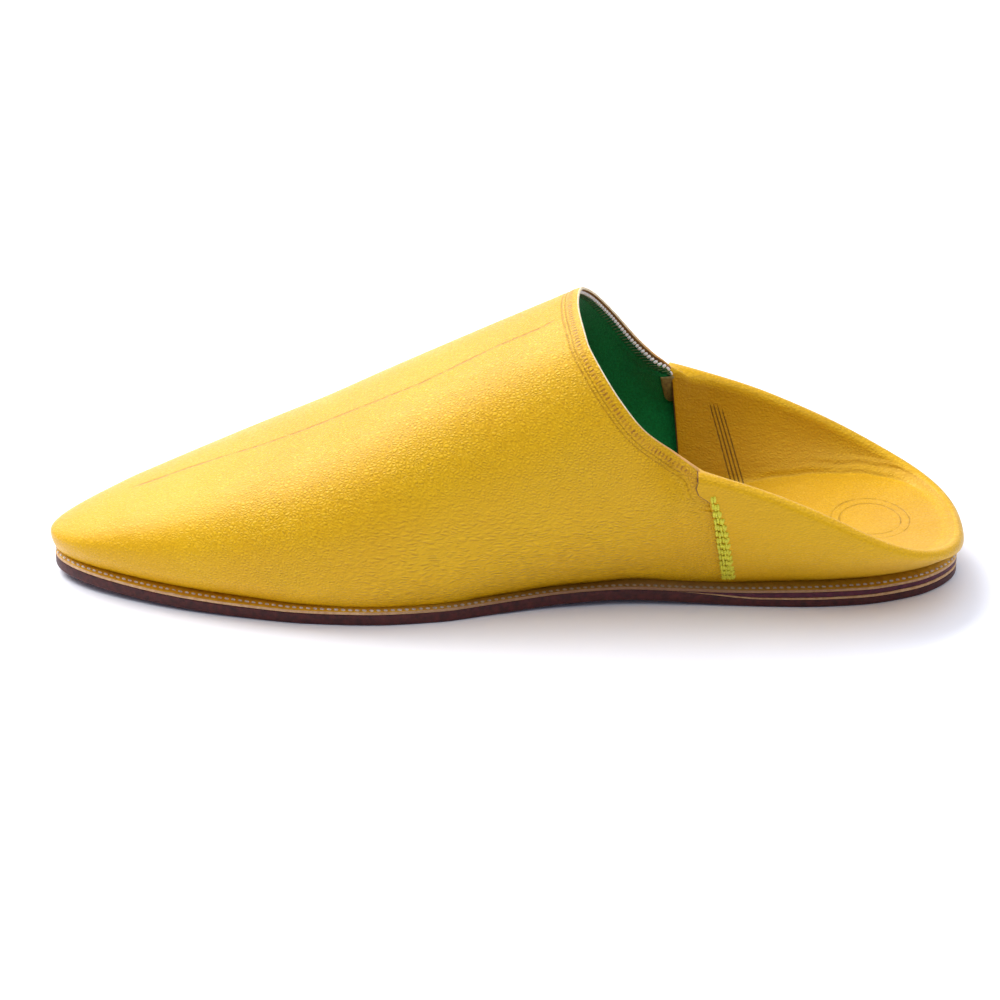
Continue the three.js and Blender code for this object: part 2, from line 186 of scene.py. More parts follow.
sole_line = Outline(SOLE_AT, SOLE_WIDE * BALL_WIDTH, SOLE_BACK, SOLE_TOE)
foot_line = Outline(SOLE_AT, FOOT_WIDE * BALL_WIDTH, 0.0085, 0.9935)
wide_line = Outline(VAMP_AT, VAMP_WIDE * UPPER_WIDTH)
fold_line = FoldOutline()
level_at = curve(VAMP_AT, VAMP_LEVEL * INSTEP_HEIGHT)
ridge_at = curve(VAMP_AT, VAMP_RIDGE * INSTEP_HEIGHT)
square_at = curve(VAMP_AT, VAMP_SQUARE)
throat_at = curve(THROAT_AT, THROAT_HEIGHT * INSTEP_HEIGHT)
fold_top_at = curve(FOLD_AT, FOLD_TOP * COLLAR_HEIGHT)


def ground_lift(x):
    toe = TOE_SPRING * np.clip((share(x) - SPRING_START) / (SOLE_TOE - SPRING_START), 0, None) ** 1.7
    arch = ARCH_LIFT * np.sin(np.pi * np.clip((share(x) - ARCH_START) / ARCH_RUN, 0, 1)) ** 2
    return toe + arch


def wedge_starts(x):
    """0 in front of the wedge, 1 behind its tip."""
    return ease(share(x), WEDGE_TIP + WEDGE_RAMP, WEDGE_TIP)


def wedge_lift(x):
    thickness = mix(WEDGE_FRONT, WEDGE_HEEL, ease(share(x), WEDGE_TIP, HEEL_PIVOT))
    return (GAP + thickness) * wedge_starts(x)


def carrier_top(x):
    """What carries the welt: the outsole in front, the wedge behind."""
    return ground_lift(x) + OUTSOLE + wedge_lift(x)


def foot_height(x):
    return carrier_top(x) + GAP + WELT + GAP


def insole_top(x):
    return foot_height(x) + WALL + GAP + INSOLE


# Stations: the share of the length where a section starts, how far it has turned round an end, which end
def fan(end, steps):
    pivot = HEEL_PIVOT if end < 0 else TOE_PIVOT
    return [(pivot, np.sin(np.pi / 2 * (i + 1) / steps), end) for i in range(steps)]


def heel_to(stop, turns, steps):
    return fan(-1, turns)[::-1] + [(mix(HEEL_PIVOT, stop, i / steps), 0.0, 0) for i in range(steps + 1)]


def edge(shape, station):
    """Point of an outline at a station."""
    pivot, turn, end = station
    at = mix(pivot, shape.back if end < 0 else shape.toe, turn) if end else pivot
    return np.array([along(at), 0.0 if turn == 1 else shape.half(at)])


def inset(shape, station, distance):
    x, y = edge(shape, station)
    inward = np.array([shape.slope(share(x)) / 2, -y])
    return np.array([x, y]) + inward / np.linalg.norm(inward) * distance


def shelf(shape, distance, height, more=0):
    """Gives the place of a station inside an outline, more above a height that depends on x."""
    def place(station):
        x, y = inset(shape, station, distance)
        return np.array([x, max(y, 0.0), height(x) + more])
    return place


def loop(place, stations):
    """Loop of place(station) -> x, y, z on the left, and its mirror image on the way back."""
    left = np.array([place(station) for station in stations])
    return join([left, left[::-1] * MIRROR])


# Meshes
def weld(points):
    """One point for each place, and the number of the one kept for each point."""
    cells = np.round(points / 0.002).astype(np.int64)
    _, first, same = np.unique(cells, axis=0, return_index=True, return_inverse=True)
    return first, same.ravel()


def triangles(quads, index=None):
    """Two triangles from each quad, flat ones left out, and the index of each."""
    tri = join([quads[:, [0, 1, 2]], quads[:, [0, 2, 3]]])
    a, b, c = tri.T
    keep = (a != b) & (b != c) & (c != a)
    return tri[keep] if index is None else (tri[keep], join([index, index])[keep])


def grid_quads(rows, cols):
    i, j = np.meshgrid(np.arange(rows - 1), np.arange(cols - 1), indexing="ij")
    a = (i * cols + j).ravel()
    return np.stack([a, a + 1, a + cols + 1, a + cols], -1)


def both_sides(points, normals, fields):
    """A left half and its mirror image, joined along the middle: points, normals, fields, triangles."""
    rows, cols = points.shape[:2]
    p, n = (join([half.reshape(-1, 3), half.reshape(-1, 3) * MIRROR]) for half in (points, normals))
    quads = grid_quads(rows, cols)
    quads = join([quads, quads[:, ::-1] + rows * cols])
    first, same = weld(p)
    tri = triangles(same[quads])
    p, n = p[first], n[first]
    a, b, c = (p[tri[:, k]] for k in range(3))
    if (np.cross(b - a, c - a) * n[tri[:, 0]]).sum() < 0:
        tri = tri[:, ::-1]
    return p, n, {key: join([v.ravel(), v.ravel()])[first] for key, v in fields.items()}, tri


def thicken(p, n, fields, tri, thickness, bulge=0.35):
    """Closed shell: outer skin, rounded rim, inner skin. The material index is 0, 1 and 2."""
    count = len(p)
    inner = p - n * thickness
    edges = join([tri[:, [0, 1]], tri[:, [1, 2]], tri[:, [2, 0]]])
    rim = edges[~np.isin(edges[:, 0] * count + edges[:, 1], edges[:, 1] * count + edges[:, 0])]
    way = np.cross(unit(p[rim[:, 1]] - p[rim[:, 0]]), n[rim[:, 0]])
    out = np.zeros_like(p)
    np.add.at(out, rim[:, 0], way)
    np.add.at(out, rim[:, 1], way)
    ids = np.unique(rim)
    out = unit(out[ids]) * thickness * bulge
    rounds = (0.12, 0.6), (0.5, 1), (0.88, 0.6)
    layers = [mix(p[ids], inner[ids], depth) + out * part for depth, part in rounds]
    spot = np.searchsorted(ids, rim) + 2 * count
    path = [rim] + [spot + k * len(ids) for k in range(3)] + [rim + count]
    rim_tri = triangles(join([np.column_stack([low[:, ::-1], high]) for low, high in zip(path, path[1:])]))
    index = np.repeat([0, 2, 1], [len(tri), len(tri), len(rim_tri)])
    source = join([np.arange(count), np.arange(count), ids, ids, ids])
    faces = join([tri, tri[:, ::-1] + count, rim_tri])
    return join([p, inner, *layers]), faces, index, {key: v[source] for key, v in fields.items()}


def stack(rings, caps=True):
    """Closed body of loops, and for each face the number of the loop that it starts from.

    The first cap has the next number, and the last cap the one after it."""
    n, count = len(rings[0]), len(rings)
    around = np.arange(n)
    after = (around + 1) % n
    quads, index = [], []
    for k in range(count - caps):
        low, high = k * n, (k + 1) % count * n
        quads.append(np.stack([low + around, low + after, high + after, high + around], -1))
        index += [k] * n
    if caps:
        i = np.arange(n // 2 - 1)
        for number, base, turn in ((count, 0, 1), (count + 1, (count - 1) * n, -1)):
            cap = np.stack([base + i, base + n - 1 - i, base + n - 2 - i, base + i + 1], -1)
            quads.append(cap[:, ::turn])
            index += [number] * len(i)
    points = join(rings)
    first, same = weld(points)
    tri, index = triangles(same[join(quads)], np.array(index))
    points = points[first]
    a, b, c = (points[tri[:, k]] for k in range(3))
    return points, tri if (a * np.cross(b, c)).sum() > 0 else tri[:, ::-1], index


def capsules(starts, ends, ups, width, height, segments=8, rings=6):
    """Joined stitches from starts to ends, width across and height along ups."""
    axis = ends - starts
    ups = unit(ups - unit(axis) * (ups * unit(axis)).sum(-1, keepdims=True))
    side = np.cross(unit(axis), ups)
    turns = np.arange(segments) * 2 * np.pi / segments
    t, a = np.meshgrid(np.linspace(0, np.pi, rings + 1), turns, indexing="ij")
    swell = np.sin(t) ** 0.7
    run, across, up = (part.reshape(-1, 1) for part in (-np.cos(t), swell * np.cos(a), swell * np.sin(a)))
    middle, axis, side, ups = (v[:, None] / 2 for v in (starts + ends, axis, side * width, ups * height))
    points = middle + run * axis + across * side + up * ups
    i, j = (part.ravel() for part in np.meshgrid(np.arange(rings), np.arange(segments), indexing="ij"))
    following = (j + 1) % segments
    quads = np.stack([i * segments + j, i * segments + following], -1)
    quads = np.column_stack([quads, quads[:, ::-1] + segments])
    one_pole = np.arange((rings + 1) * segments)
    one_pole[:segments] = 0
    one_pole[-segments:] = rings * segments
    used, tri = np.unique(triangles(one_pole[quads]), return_inverse=True)
    numbers = np.arange(len(points))[:, None, None] * len(used)
    return points[:, used].reshape(-1, 3), (tri.reshape(-1, 3) + numbers).reshape(-1, 3)


def add_mesh(name, points, faces, materials, index=None, fields=None):
    mesh = bpy.data.meshes.new(name)
    mesh.from_pydata((points * MM).tolist(), [], faces.tolist())
    for material in materials:
        mesh.materials.append(material)
    if index is not None:
        mesh.polygons.foreach_set("material_index", np.asarray(index, np.int32))
    for key, values in (fields or {}).items():
        mesh.attributes.new(key, "FLOAT", "POINT").data.foreach_set("value", values.astype(np.float32))
    mesh.shade_smooth()
    mesh.set_sharp_from_angle(angle=np.radians(SHARP_ANGLE))
    mesh.update()
    piece = bpy.data.objects.new(name, mesh)
    bpy.context.scene.collection.objects.link(piece)
    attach(piece, "root")
    return piece


# Materials
class Shading:
    """Short calls for one material's nodes, with lengths in millimetres."""

    def __init__(self, name):
        self.material = bpy.data.materials.new(name)
        self.material.use_nodes = True
        self.tree = self.material.node_tree
        self.tree.nodes.clear()
        output = self.node("ShaderNodeOutputMaterial")
        self.shader = self.node("ShaderNodeBsdfPrincipled")
        self.tree.links.new(self.shader.outputs[0], output.inputs[0])
        self.place = self.vector("SCALE", self.node("ShaderNodeTexCoord").outputs["Object"], scale=1 / MM)

    def node(self, kind, **settings):
        made = self.tree.nodes.new(kind)
        for key, value in settings.items():
            setattr(made, key, value)
        return made

    def feed(self, socket, value):
        if isinstance(value, bpy.types.NodeSocket):
            self.tree.links.new(value, socket)
        elif value is not None:
            socket.default_value = value

    def math(self, operation, *values):
        made = self.node("ShaderNodeMath", operation=operation)
        for socket, value in zip(made.inputs, values):
            self.feed(socket, value)
        return made.outputs[0]

    def vector(self, operation, a, b=None, scale=None):
        made = self.node("ShaderNodeVectorMath", operation=operation)
        self.feed(made.inputs[0], a)
        self.feed(made.inputs[1], b)
        if scale is not None:
            self.feed(made.inputs["Scale"], scale)
        return made.outputs["Value" if operation == "LENGTH" else "Vector"]

    def field(self, name):
        return self.node("ShaderNodeAttribute", attribute_name=name).outputs["Fac"]

    def axis(self, name):
        made = self.node("ShaderNodeSeparateXYZ")
        self.feed(made.inputs[0], self.place)
        return made.outputs[name]

    def noise(self, scale, detail=2.0, rough=0.5, place=None, output="Fac"):
        """Noise at one scale, or stretched where three are given."""
        if isinstance(scale, tuple):
            place, scale = self.scaled(*scale), 1.0
        made = self.node("ShaderNodeTexNoise")
        values = ("Vector", place or self.place), ("Scale", scale), ("Detail", detail), ("Roughness", rough)
        for key, value in values:
            self.feed(made.inputs[key], value)
        return made.outputs[output]

    def cells(self, place, scale):
        """Distance to the edge of the nearest cell."""
        made = self.node("ShaderNodeTexVoronoi", feature="DISTANCE_TO_EDGE")
        self.feed(made.inputs["Vector"], place)
        self.feed(made.inputs["Scale"], scale)
        return made.outputs["Distance"]

    def ramp(self, *values):
        """From 0 to 1, or between two more values, as the first one goes from the second to the third."""
        made = self.node("ShaderNodeMapRange", interpolation_type="SMOOTHSTEP")
        for socket, value in zip(made.inputs, values):
            self.feed(socket, value)
        return made.outputs[0]

    def blend(self, amount, a, b):
        made = self.node("ShaderNodeMix", data_type="RGBA")
        colours = [socket for socket in made.inputs if socket.type == "RGBA"]
        for socket, value in zip((made.inputs[0], *colours), (amount, a, b)):
            self.feed(socket, value)
        return [socket for socket in made.outputs if socket.type == "RGBA"][0]

    def scaled(self, x, y, z, place=None):
        return self.vector("MULTIPLY", place or self.place, (x, y, z))

    def warped(self, place, scale, amount):
        shift = self.vector("SUBTRACT", self.noise(scale, place=place, output="Color"), (0.5, 0.5, 0.5))
        return self.vector("ADD", place, self.vector("SCALE", shift, scale=amount))

    def total(self, *parts):
        return reduce(partial(self.math, "ADD"), parts)

    def times(self, *parts):
        return reduce(partial(self.math, "MULTIPLY"), parts)

    def minus(self, a, b):
        return self.math("SUBTRACT", a, b)

    def linear(self, value, slope, start):
        return self.math("MULTIPLY_ADD", value, slope, start)

    def marked(self, colour, height, *marks):
        """Colour and height with marks, each a field, its height, its share of a tone, and the tone."""
        for mark, rise, amount, tone in marks:
            height = self.linear(mark, rise, height)
            colour = self.blend(self.times(mark, amount), colour, tone)
        return colour, height

    def groove(self, distance, width):
        return self.ramp(self.math("ABSOLUTE", distance), 0, width, 1, 0)

    def finish(self, colour, height, roughness, **settings):
        self.feed(self.shader.inputs["Base Color"], colour)
        self.feed(self.shader.inputs["Roughness"], roughness)
        for key, value in settings.items():
            self.shader.inputs[key.replace("_", " ").title().replace("Ior", "IOR")].default_value = value
        if height is not None:
            bump = self.node("ShaderNodeBump")
            bump.inputs["Distance"].default_value = MM
            bump.inputs["Strength"].default_value = 1
            self.feed(bump.inputs["Height"], height)
            self.feed(self.shader.inputs["Normal"], bump.outputs[0])
        return self.material


def srgb(*colour):
    c = np.array(colour) / 255
    return (*np.where(c <= 0.04045, c / 12.92, ((c + 0.055) / 1.055) ** 2.4), 1)


YELLOW = srgb(221, 168, 0)
OCHRE = srgb(208, 147, 0)
PALE = srgb(225, 174, 4)
BROWN = srgb(120, 66, 4)
# Painted shade and painted highlight, laid on the lower and upper side of each pebble
SHADED = srgb(150, 92, 0)
LIT = srgb(255, 206, 30)
# Step between two readings of the grain, whose difference lights one side of each pebble
UPHILL = (0.2, 0.0, 0.42)


def pebbles(s, place, low):
    """Height of the grain: round pebbles, drawn out along the slipper where the leather is low."""
    round_place = s.warped(place, 0.35, 1.4)
    long_place = s.warped(place, 0.16, 2.8)
    round_height = s.ramp(s.cells(s.scaled(0.8, 1.05, 1.2, round_place), 0.92), 0.0, 0.4)
    long_height = s.ramp(s.cells(s.scaled(0.3, 0.7, 0.86, long_place), 1.0), 0.0, 0.4)
    return s.total(s.times(round_height, s.minus(1.0, low)), s.times(long_height, low))


def leather(name, marks, grain=1.0):
    """Glazed yellow leather: pebbled grain with painted light and shade on each pebble, low wrinkles along
    the slipper, painted shade along its foot, and the marks given.
    """
    s = Shading(name)
    low = s.times(s.field("low"), 0.85)
    pebble = pebbles(s, s.place, low)
    facing_up = s.minus(pebble, pebbles(s, s.vector("ADD", s.place, UPHILL), low))
    valley = s.minus(1.0, pebble)
    creases = s.math("ABSOLUTE", s.minus(s.noise((0.12, 0.3, 0.5)), 0.5))
    crease_lines = s.times(s.ramp(creases, 0.0, 0.04, 1, 0), low)
    uneven = s.ramp(s.noise(0.07, 3.0), 0.35, 0.65)
    calm = s.ramp(s.axis("X"), 55, 120, grain, 0.55 * grain)
    deep = s.times(s.linear(uneven, -0.08, -0.16), calm, s.linear(low, 0.4, 1.0))
    height = s.total(
        s.times(deep, valley),
        s.times(crease_lines, -0.08),
        s.times(s.noise(0.09), 0.5),
        s.times(s.noise((0.25, 0.5, 0.6)), 0.2),
    )
    patch = s.noise(0.035, 3.0)
    colour = s.blend(s.ramp(patch, 0.3, 0.7), OCHRE, PALE)
    colour = s.blend(0.72, colour, YELLOW)
    # Painted light and shade: each pebble's upper side is coloured lighter and its lower side darker, as
    # under a lamp from above.
    facing = s.times(facing_up, calm, s.linear(low, 0.5, 1.0))
    colour = s.blend(s.linear(facing, -0.35, 0.02), colour, SHADED)
    colour = s.blend(s.times(facing, 0.36), colour, LIT)
    # Darker in the grain's valleys and along the low creases, partly the grain's own tone and partly painted
    # shade; the foot field adds painted shade along the foot of the upper.
    dark = s.total(s.times(valley, 0.05), s.times(crease_lines, 0.06), s.times(s.field("foot"), 0.36))
    colour = s.blend(dark, colour, BROWN)
    colour, height = marks(s, colour, height)
    return s.finish(
        colour, height, s.linear(valley, 0.12, 0.34),
        specular_ior_level=0.3, specular_tint=(1, 0.8, 0.2, 1), coat_weight=0.34, coat_roughness=0.44,
    )


def vamp_marks(s, colour, height):
    """Overcast marks and two tooled lines along the throat, and the tooled middle line."""
    rim, run, tool, tool_on, rim_on = map(s.field, ("rim", "run", "tool", "tool_on", "rim_on"))
    near = s.times(s.ramp(rim, 1.5, 2.0), s.ramp(rim, 3.0, 3.6, 1, 0), rim_on)
    beat = s.math("ABSOLUTE", s.minus(s.math("FRACT", s.math("DIVIDE", run, 1.38)), 0.5))
    loose = s.ramp(s.noise((0.3, 0.3, 0.3)), 0.3, 0.62, 0.35, 1)
    dash = s.times(s.ramp(beat, 0.08, 0.3, 1, 0), near, loose)
    rails = (s.groove(s.minus(rim, at), width) for at, width in ((FIRST_RAIL, 0.34), (SECOND_RAIL, 0.42)))
    rails = s.times(s.math("MAXIMUM", *rails), rim_on)
    bank = s.times(s.ramp(rim, 1.0, 2.2), s.ramp(rim, 3.2, 4.0, 1, 0))
    broken = s.ramp(s.noise((0.5, 0.5, 0.5), 3.0), 0.36, 0.56, 0.45, 1)
    middle = s.times(s.groove(tool, 0.95), tool_on, broken)
    return s.marked(
        colour, height, (bank, 0.04, 0.16, srgb(196, 124, 20)), (dash, -0.16, 0.62, srgb(132, 62, 30)),
        (rails, -0.2, 0.36, srgb(150, 88, 0)), (middle, -0.2, 0.72, srgb(160, 84, 10)),
    )


def quarter_marks(s, colour, height):
    """Four slanted tooled lines inside each side, a plain double ring on the heel seat, creased leather, and
    painted shade on the turned-in part, the heel seat and in the creases.
    """
    beat, on, crease, seat, turned = map(s.field, ("tool", "tool_on", "crease", "seat", "turned"))
    lines = s.times(s.groove(s.minus(beat, s.math("ROUND", beat)), 0.27), on)
    flat = s.vector("MULTIPLY", s.vector("SUBTRACT", s.place, RING_CENTRE), (1, 0.86, 0))
    radius = s.vector("LENGTH", flat)
    rings = s.math("MAXIMUM", *(s.groove(s.minus(radius, ring), 0.5) for ring in RING_RADII))
    worn = s.ramp(s.noise((0.2, 0.2, 0.2)), 0.35, 0.6, 0.35, 1)
    rings = s.times(rings, seat, worn)
    # The turned-in part, the heel seat and the creases are coloured darker: painted shade.
    return s.marked(
        colour, height, (turned, 0, 0.6, srgb(172, 112, 0)), (seat, 0, 0.3, srgb(190, 132, 0)),
        (lines, -0.5, 0.62, srgb(112, 58, 4)), (rings, -0.3, 0.26, BROWN), (crease, -0.1, 0.13, BROWN),
    )


def plain(name, colour, second, grain, depth, roughness, shade_tone=None, **settings):
    """Leather edge, thread or felt: two close colours over a fine uneven surface, with painted shade where a
    shade tone is given.
    """
    s = Shading(name)
    amount = s.ramp(s.noise(grain, 4.0, 0.65), 0.25, 0.75)
    height = s.times(s.noise(grain * 2.2, 3.0, 0.6), depth)
    shown = s.blend(amount, srgb(*colour), srgb(*second))
    if shade_tone:
        shown = s.blend(s.times(s.field("waist_shade"), 0.82), shown, srgb(*shade_tone))
    return s.finish(shown, height, roughness, **settings)


def throat_edge():
    """Cut edge of the vamp: white over the instep, stained towards the corners."""
    s = Shading("cut_edge")
    tone = s.blend(s.ramp(s.noise(1.4, 3.0), 0.3, 0.7), srgb(244, 230, 196), srgb(226, 200, 150))
    tone = s.blend(s.ramp(s.axis("Z"), 56, 76, 0.85, 0), tone, srgb(206, 140, 40))
    return s.finish(tone, s.times(s.noise(3.0), 0.06), 0.6)


# Distances of the tooled lines from the throat edge, and the plain double ring on the heel seat
FIRST_RAIL, SECOND_RAIL = 4.1, 5.3
RING_CENTRE = (-116.2, -0.8, 0)
RING_RADII = (9.8, 12.6)
SOFT = {"sheen_weight": 0.35, "sheen_roughness": 0.4, "specular_ior_level": 0.15}
DULL_EDGE = {"specular_ior_level": 0.35}

vamp_leather = leather("vamp_leather", vamp_marks)
quarter_leather = leather("quarter_leather", quarter_marks, 0.55)
cut_edge = throat_edge()
flesh = plain("flesh_side", (150, 105, 40), (110, 70, 25), 0.9, 0.1, 0.8)
felt = plain("green_felt", (20, 134, 66), (12, 106, 48), 1.6, 0.22, 0.95, **SOFT)
white_thread = plain("white_thread", (246, 240, 234), (214, 202, 190), 2.5, 0.08, 0.6)
# The last colour given to the welt's thread, top and cut edge is its painted shade.
welt_thread = plain("welt_thread", (236, 226, 214), (190, 166, 140), 1.1, 0.08, 0.6, (112, 84, 40))
# Painted shade: the white thread coloured as where it runs down into the shaded lining.
shaded_white_thread = plain("shaded_white_thread", (120, 140, 90), (70, 100, 60), 2.0, 0.05, 0.8)
dyed_edge = plain("dyed_edge", (132, 82, 24), (92, 50, 26), 1.4, 0.06, 0.6)
lime_thread = plain("lime_thread", (226, 216, 52), (200, 190, 30), 2.2, 0.1, 0.5)
welt_top = plain("welt_top", (222, 168, 26), (196, 138, 14), 0.5, 0.12, 0.5, (92, 54, 4))
tan_edge = plain("tan_edge", (222, 180, 130), (190, 140, 90), 0.7, 0.1, 0.55, (120, 76, 44))
outsole_edge = plain("outsole_edge", (86, 31, 28), (52, 15, 14), 0.5, 0.12, 0.5, **DULL_EDGE)
outsole_base = plain("outsole_base", (120, 72, 52), (92, 50, 38), 0.12, 0.1, 0.6)
wedge_edge = plain("wedge_edge", (96, 30, 50), (66, 18, 34), 0.5, 0.1, 0.5, **DULL_EDGE)
sock = plain("sock_leather", (214, 166, 40), (190, 140, 24), 0.3, 0.1, 0.55)
tab_leather = plain("tab_leather", (150, 130, 66), (106, 84, 40), 0.8, 0.08, 0.7)


# Sole and welt
WELT_EDGE = 1.05
STITCH_PITCH = 2.2
# Share of the way in from the edge, and height: past WELT_EDGE it is a share of the slope above it
WELT_RIM = [(0.16, 0.0), (0.03, 0.06), (0.0, 0.2), (0.0, 0.75), (0.03, 0.97), (0.09, WELT_EDGE + 0.04)]
WELT_SLOPE = [(0.74, WELT_EDGE + 0.74), (0.9, WELT_EDGE + 0.92), (1.0, WELT_EDGE + 1.0)]
# Share of the way past the line of stitches, and depth
WELT_GROOVE = [(-0.1, 0), (-0.04, 0.18), (0.04, 0.18), (0.1, 0)]
# Near end of the welt strip, butted against its other end
JOINT_X, JOINT_REACH, JOINT_STEP = 105.0, 2.2, 0.3
INSOLE_ROWS = [(0.5, -INSOLE), (0, -1.6), (0, -0.6), (0.25, -0.15), (0.9, 0)]
around = heel_to(TOE_PIVOT, 36, 150) + fan(1, 36)
wedge_stations = heel_to(0.322, 36, 44)


def waist_shade_at(x):
    """How much painted shade the welt gets: most along the waist, which the upper's bulge shades."""
    return np.interp(x, [-145, -125, -100, -60, -20, 15, 45], [0.05, 0.2, 0.65, 1.0, 1.0, 0.7, 0.0])


def welt_base(x):
    """Underside of the welt's edge."""
    return carrier_top(x) + mix(0.82, 0.12, wedge_starts(x))


def edge_top(x):
    """Top of the outsole's edge: up to the welt in front, and below it where the wedge shows."""
    return mix(welt_base(x) - 0.02, ground_lift(x) + 2.72, ease(share(x), 0.336, 0.226))


def line_top(x):
    """Top of the thin tan line between outsole and wedge."""
    line = np.interp(x, [-142, -125, -113, -80, -46, -42], [1.15, 1.1, 0.95, 0.62, 0.4, 0.1])
    return edge_top(x) + np.minimum(line, 0.46 * (welt_base(x) - edge_top(x)))


def heel_strip(low, high, rows):
    """Closed strip round the heel between two heights, from rows of inset and share of the way up."""
    def height(x, part):
        return mix(low(x), high(x), part)
    places = [shelf(sole_line, distance, partial(height, part=part)) for distance, part in rows]
    return stack([loop(place, wedge_stations) for place in places])


# Inset, height, and what is added to it
outsole_rows = [
    (1.3, ground_lift, 0), (0.5, ground_lift, 0.1), (0.12, ground_lift, 0.4), (0.0, ground_lift, 0.9),
    (0.0, edge_top, -0.5), (0.1, edge_top, -0.12), (0.35, edge_top, 0), (2.2, ground_lift, 2.7),
]
points, faces, index = stack([loop(shelf(sole_line, *row), around) for row in outsole_rows])
base = np.isin(index, (0, len(outsole_rows)))
outsole = add_mesh("outsole_leather", points, faces, [outsole_edge, outsole_base], base)
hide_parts("outsole")

points, faces, _ = heel_strip(edge_top, line_top, [(0.4, 0), (0.04, 0.1), (0.02, 0.9), (0.4, 1)])
# The tan line gets half of the welt's painted shade.
line = add_mesh("wedge_line", points, faces, [tan_edge], None, {"waist_shade": waist_shade_at(points[:, 0]) * 0.5})
points, faces, _ = heel_strip(line_top, welt_base, [(0.5, 0), (0.1, 0.06), (0, 0.5), (0.12, 0.94), (0.6, 1)])
wedge = add_mesh("wedge_leather", points, faces, [wedge_edge])
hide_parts("heel_wedge")


def welt_point(station, across, up):
    """Point of the welt's profile: across runs from the sole's edge to the foot of the upper."""
    x, y = mix(edge(sole_line, station), edge(foot_line, station), across)
    base = welt_base(x)
    slope = (foot_height(x) - 0.03 - base - WELT_EDGE) * max(0, up - WELT_EDGE)
    return np.array([x, max(y, 0.0), base + min(up, WELT_EDGE) + slope])


def stitch_point(station, past, depth=0.0, raised=0.0):
    """Point of the welt past its line of stitches."""
    line = np.interp(along(station[0]), [-130, -46, 20, 86, 122], [0.37, 0.25, 0.32, 0.46, 0.42])
    across = line + past
    return welt_point(station, across, WELT_EDGE + across + raised) - np.array([0, 0, depth])


places = [partial(welt_point, across=across, up=up) for across, up in WELT_RIM]
places += [partial(stitch_point, past=past, depth=depth) for past, depth in WELT_GROOVE]
places += [partial(welt_point, across=across, up=up) for across, up in WELT_SLOPE]
places += [shelf(foot_line, MARGIN, welt_base, up) for up in (2.2, 0)]
points, faces, index = stack([loop(place, around) for place in places], caps=False)
cut_face = (index <= 3) | (index >= len(places) - 1)
x, y, z = points.T
joint = ease(np.abs(x - JOINT_X), JOINT_REACH, 0) * (y > 0) * (z > welt_base(x) + 0.9)
points[:, 2] += JOINT_STEP * joint
welt = add_mesh("welt_strip", points, faces, [welt_top, tan_edge], cut_face, {"waist_shade": waist_shade_at(x)})
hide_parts("welt")

# Welt stitches
fine = heel_to(TOE_PIVOT, 120, 500) + fan(1, 120)
path = loop(partial(stitch_point, past=0, raised=-0.03), fine)
inner_path = loop(partial(stitch_point, past=0.18, raised=-0.03), fine)
run = run_along(join([path, path[:1]]))
count = int(run[-1] / STITCH_PITCH)
middle_run = (np.arange(count) + 0.5) * run[-1] / count


def on_path(line, at):
    return interpolate(at % run[-1], run, join([line, line[:1]]))


half_length = 0.62 + 0.1 * rng.random(count)
starts, ends = on_path(path, middle_run - half_length), on_path(path, middle_run + half_length)
inward = unit(on_path(inner_path, middle_run) - on_path(path, middle_run))
ups = np.cross(unit(ends - starts), inward)
ups *= np.sign(ups[:, 2:])
points, faces = capsules(starts - inward * 0.12, ends + inward * 0.12, ups, 0.8, 0.7)
stitches = add_mesh("welt_stitches", points, faces, [welt_thread], None, {"waist_shade": waist_shade_at(points[:, 0])})

# Insole
places = [shelf(foot_line, INSOLE_INSET + more, insole_top, up) for more, up in INSOLE_ROWS]
points, faces, _ = stack([loop(place, around) for place in places])
insole = add_mesh("sock_lining", points, faces, [sock])
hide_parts("insole")


# Upper: sheets held as dense grids of points, rows along the slipper and columns from its foot to its middle
VAMP_COLUMNS = 76
VAMP_BACK_X = -76.0
STRAIGHT_ROWS = 520
NEAR_ROWS = np.arange(0, 7.2, 0.3)
FAR_ROWS = 190
FOLD_COLUMNS, LEG_COLUMNS, SEAT_COLUMNS, WALL_COLUMNS = 14, 26, 26, 20
QUARTER_ROWS = 120
QUARTER_STRAIGHT_ROWS = 130
INNER = WALL_COLUMNS + FOLD_COLUMNS + 1
CORNER_X = -53.6
TOE_X, HEEL_X = along(TOE_PIVOT), along(HEEL_PIVOT)
FAN_STEPS, FAN_LENGTH = 90, 42.0
FAN_RUN = FAN_LENGTH * (np.arange(FAN_STEPS) + 1) / FAN_STEPS
# Height and x of the front edge of the quarter's wall
SEAM_Z = [0, 8, 11, 28, 40, 43.5, 44.6, 45.6, 47.5, 50, 53, 60]
SEAM_X = [-69.6, -69.4, -68.8, -65.6, -62.9, -61.7, -60.2, -58.5, -57.7, -58.0, -58.4, -58.6]
# x along the slipper and y across it of the tooled middle line
TOOL_X = [-22, -9.9, 2.2, 14.2, 27.2, 40.2, 52.2, 65.2, 78.2, 90.2, 103.2, 122]
TOOL_Y = [4.0, 7.1, 6.6, 7.3, 8.1, 6.5, 4.5, 3.6, 2.9, 0.4, -1.5, -2.2]
# x, distance of the crease inside the middle of the fold, height of the crease, height of the middle
SEAT_X, CREASE_IN, CREASE_Z, MIDDLE_Z = np.array([
    (-150, 2.6, 17.0, 16.7), (-143, 3.2, 17.2, 16.8), (-138, 4.6, 17.9, 16.9), (-125, 7.6, 19.0, 17.0),
    (-119, 9.0, 19.6, 17.0), (-103, 10.8, 20.0, 16.6), (-90, 12.5, 19.2, 15.8), (-78, 13.0, 17.8, 14.9),
    (-66, 13.6, 16.4, 14.0), (-50, 14.2, 15.4, 13.3),
]).T
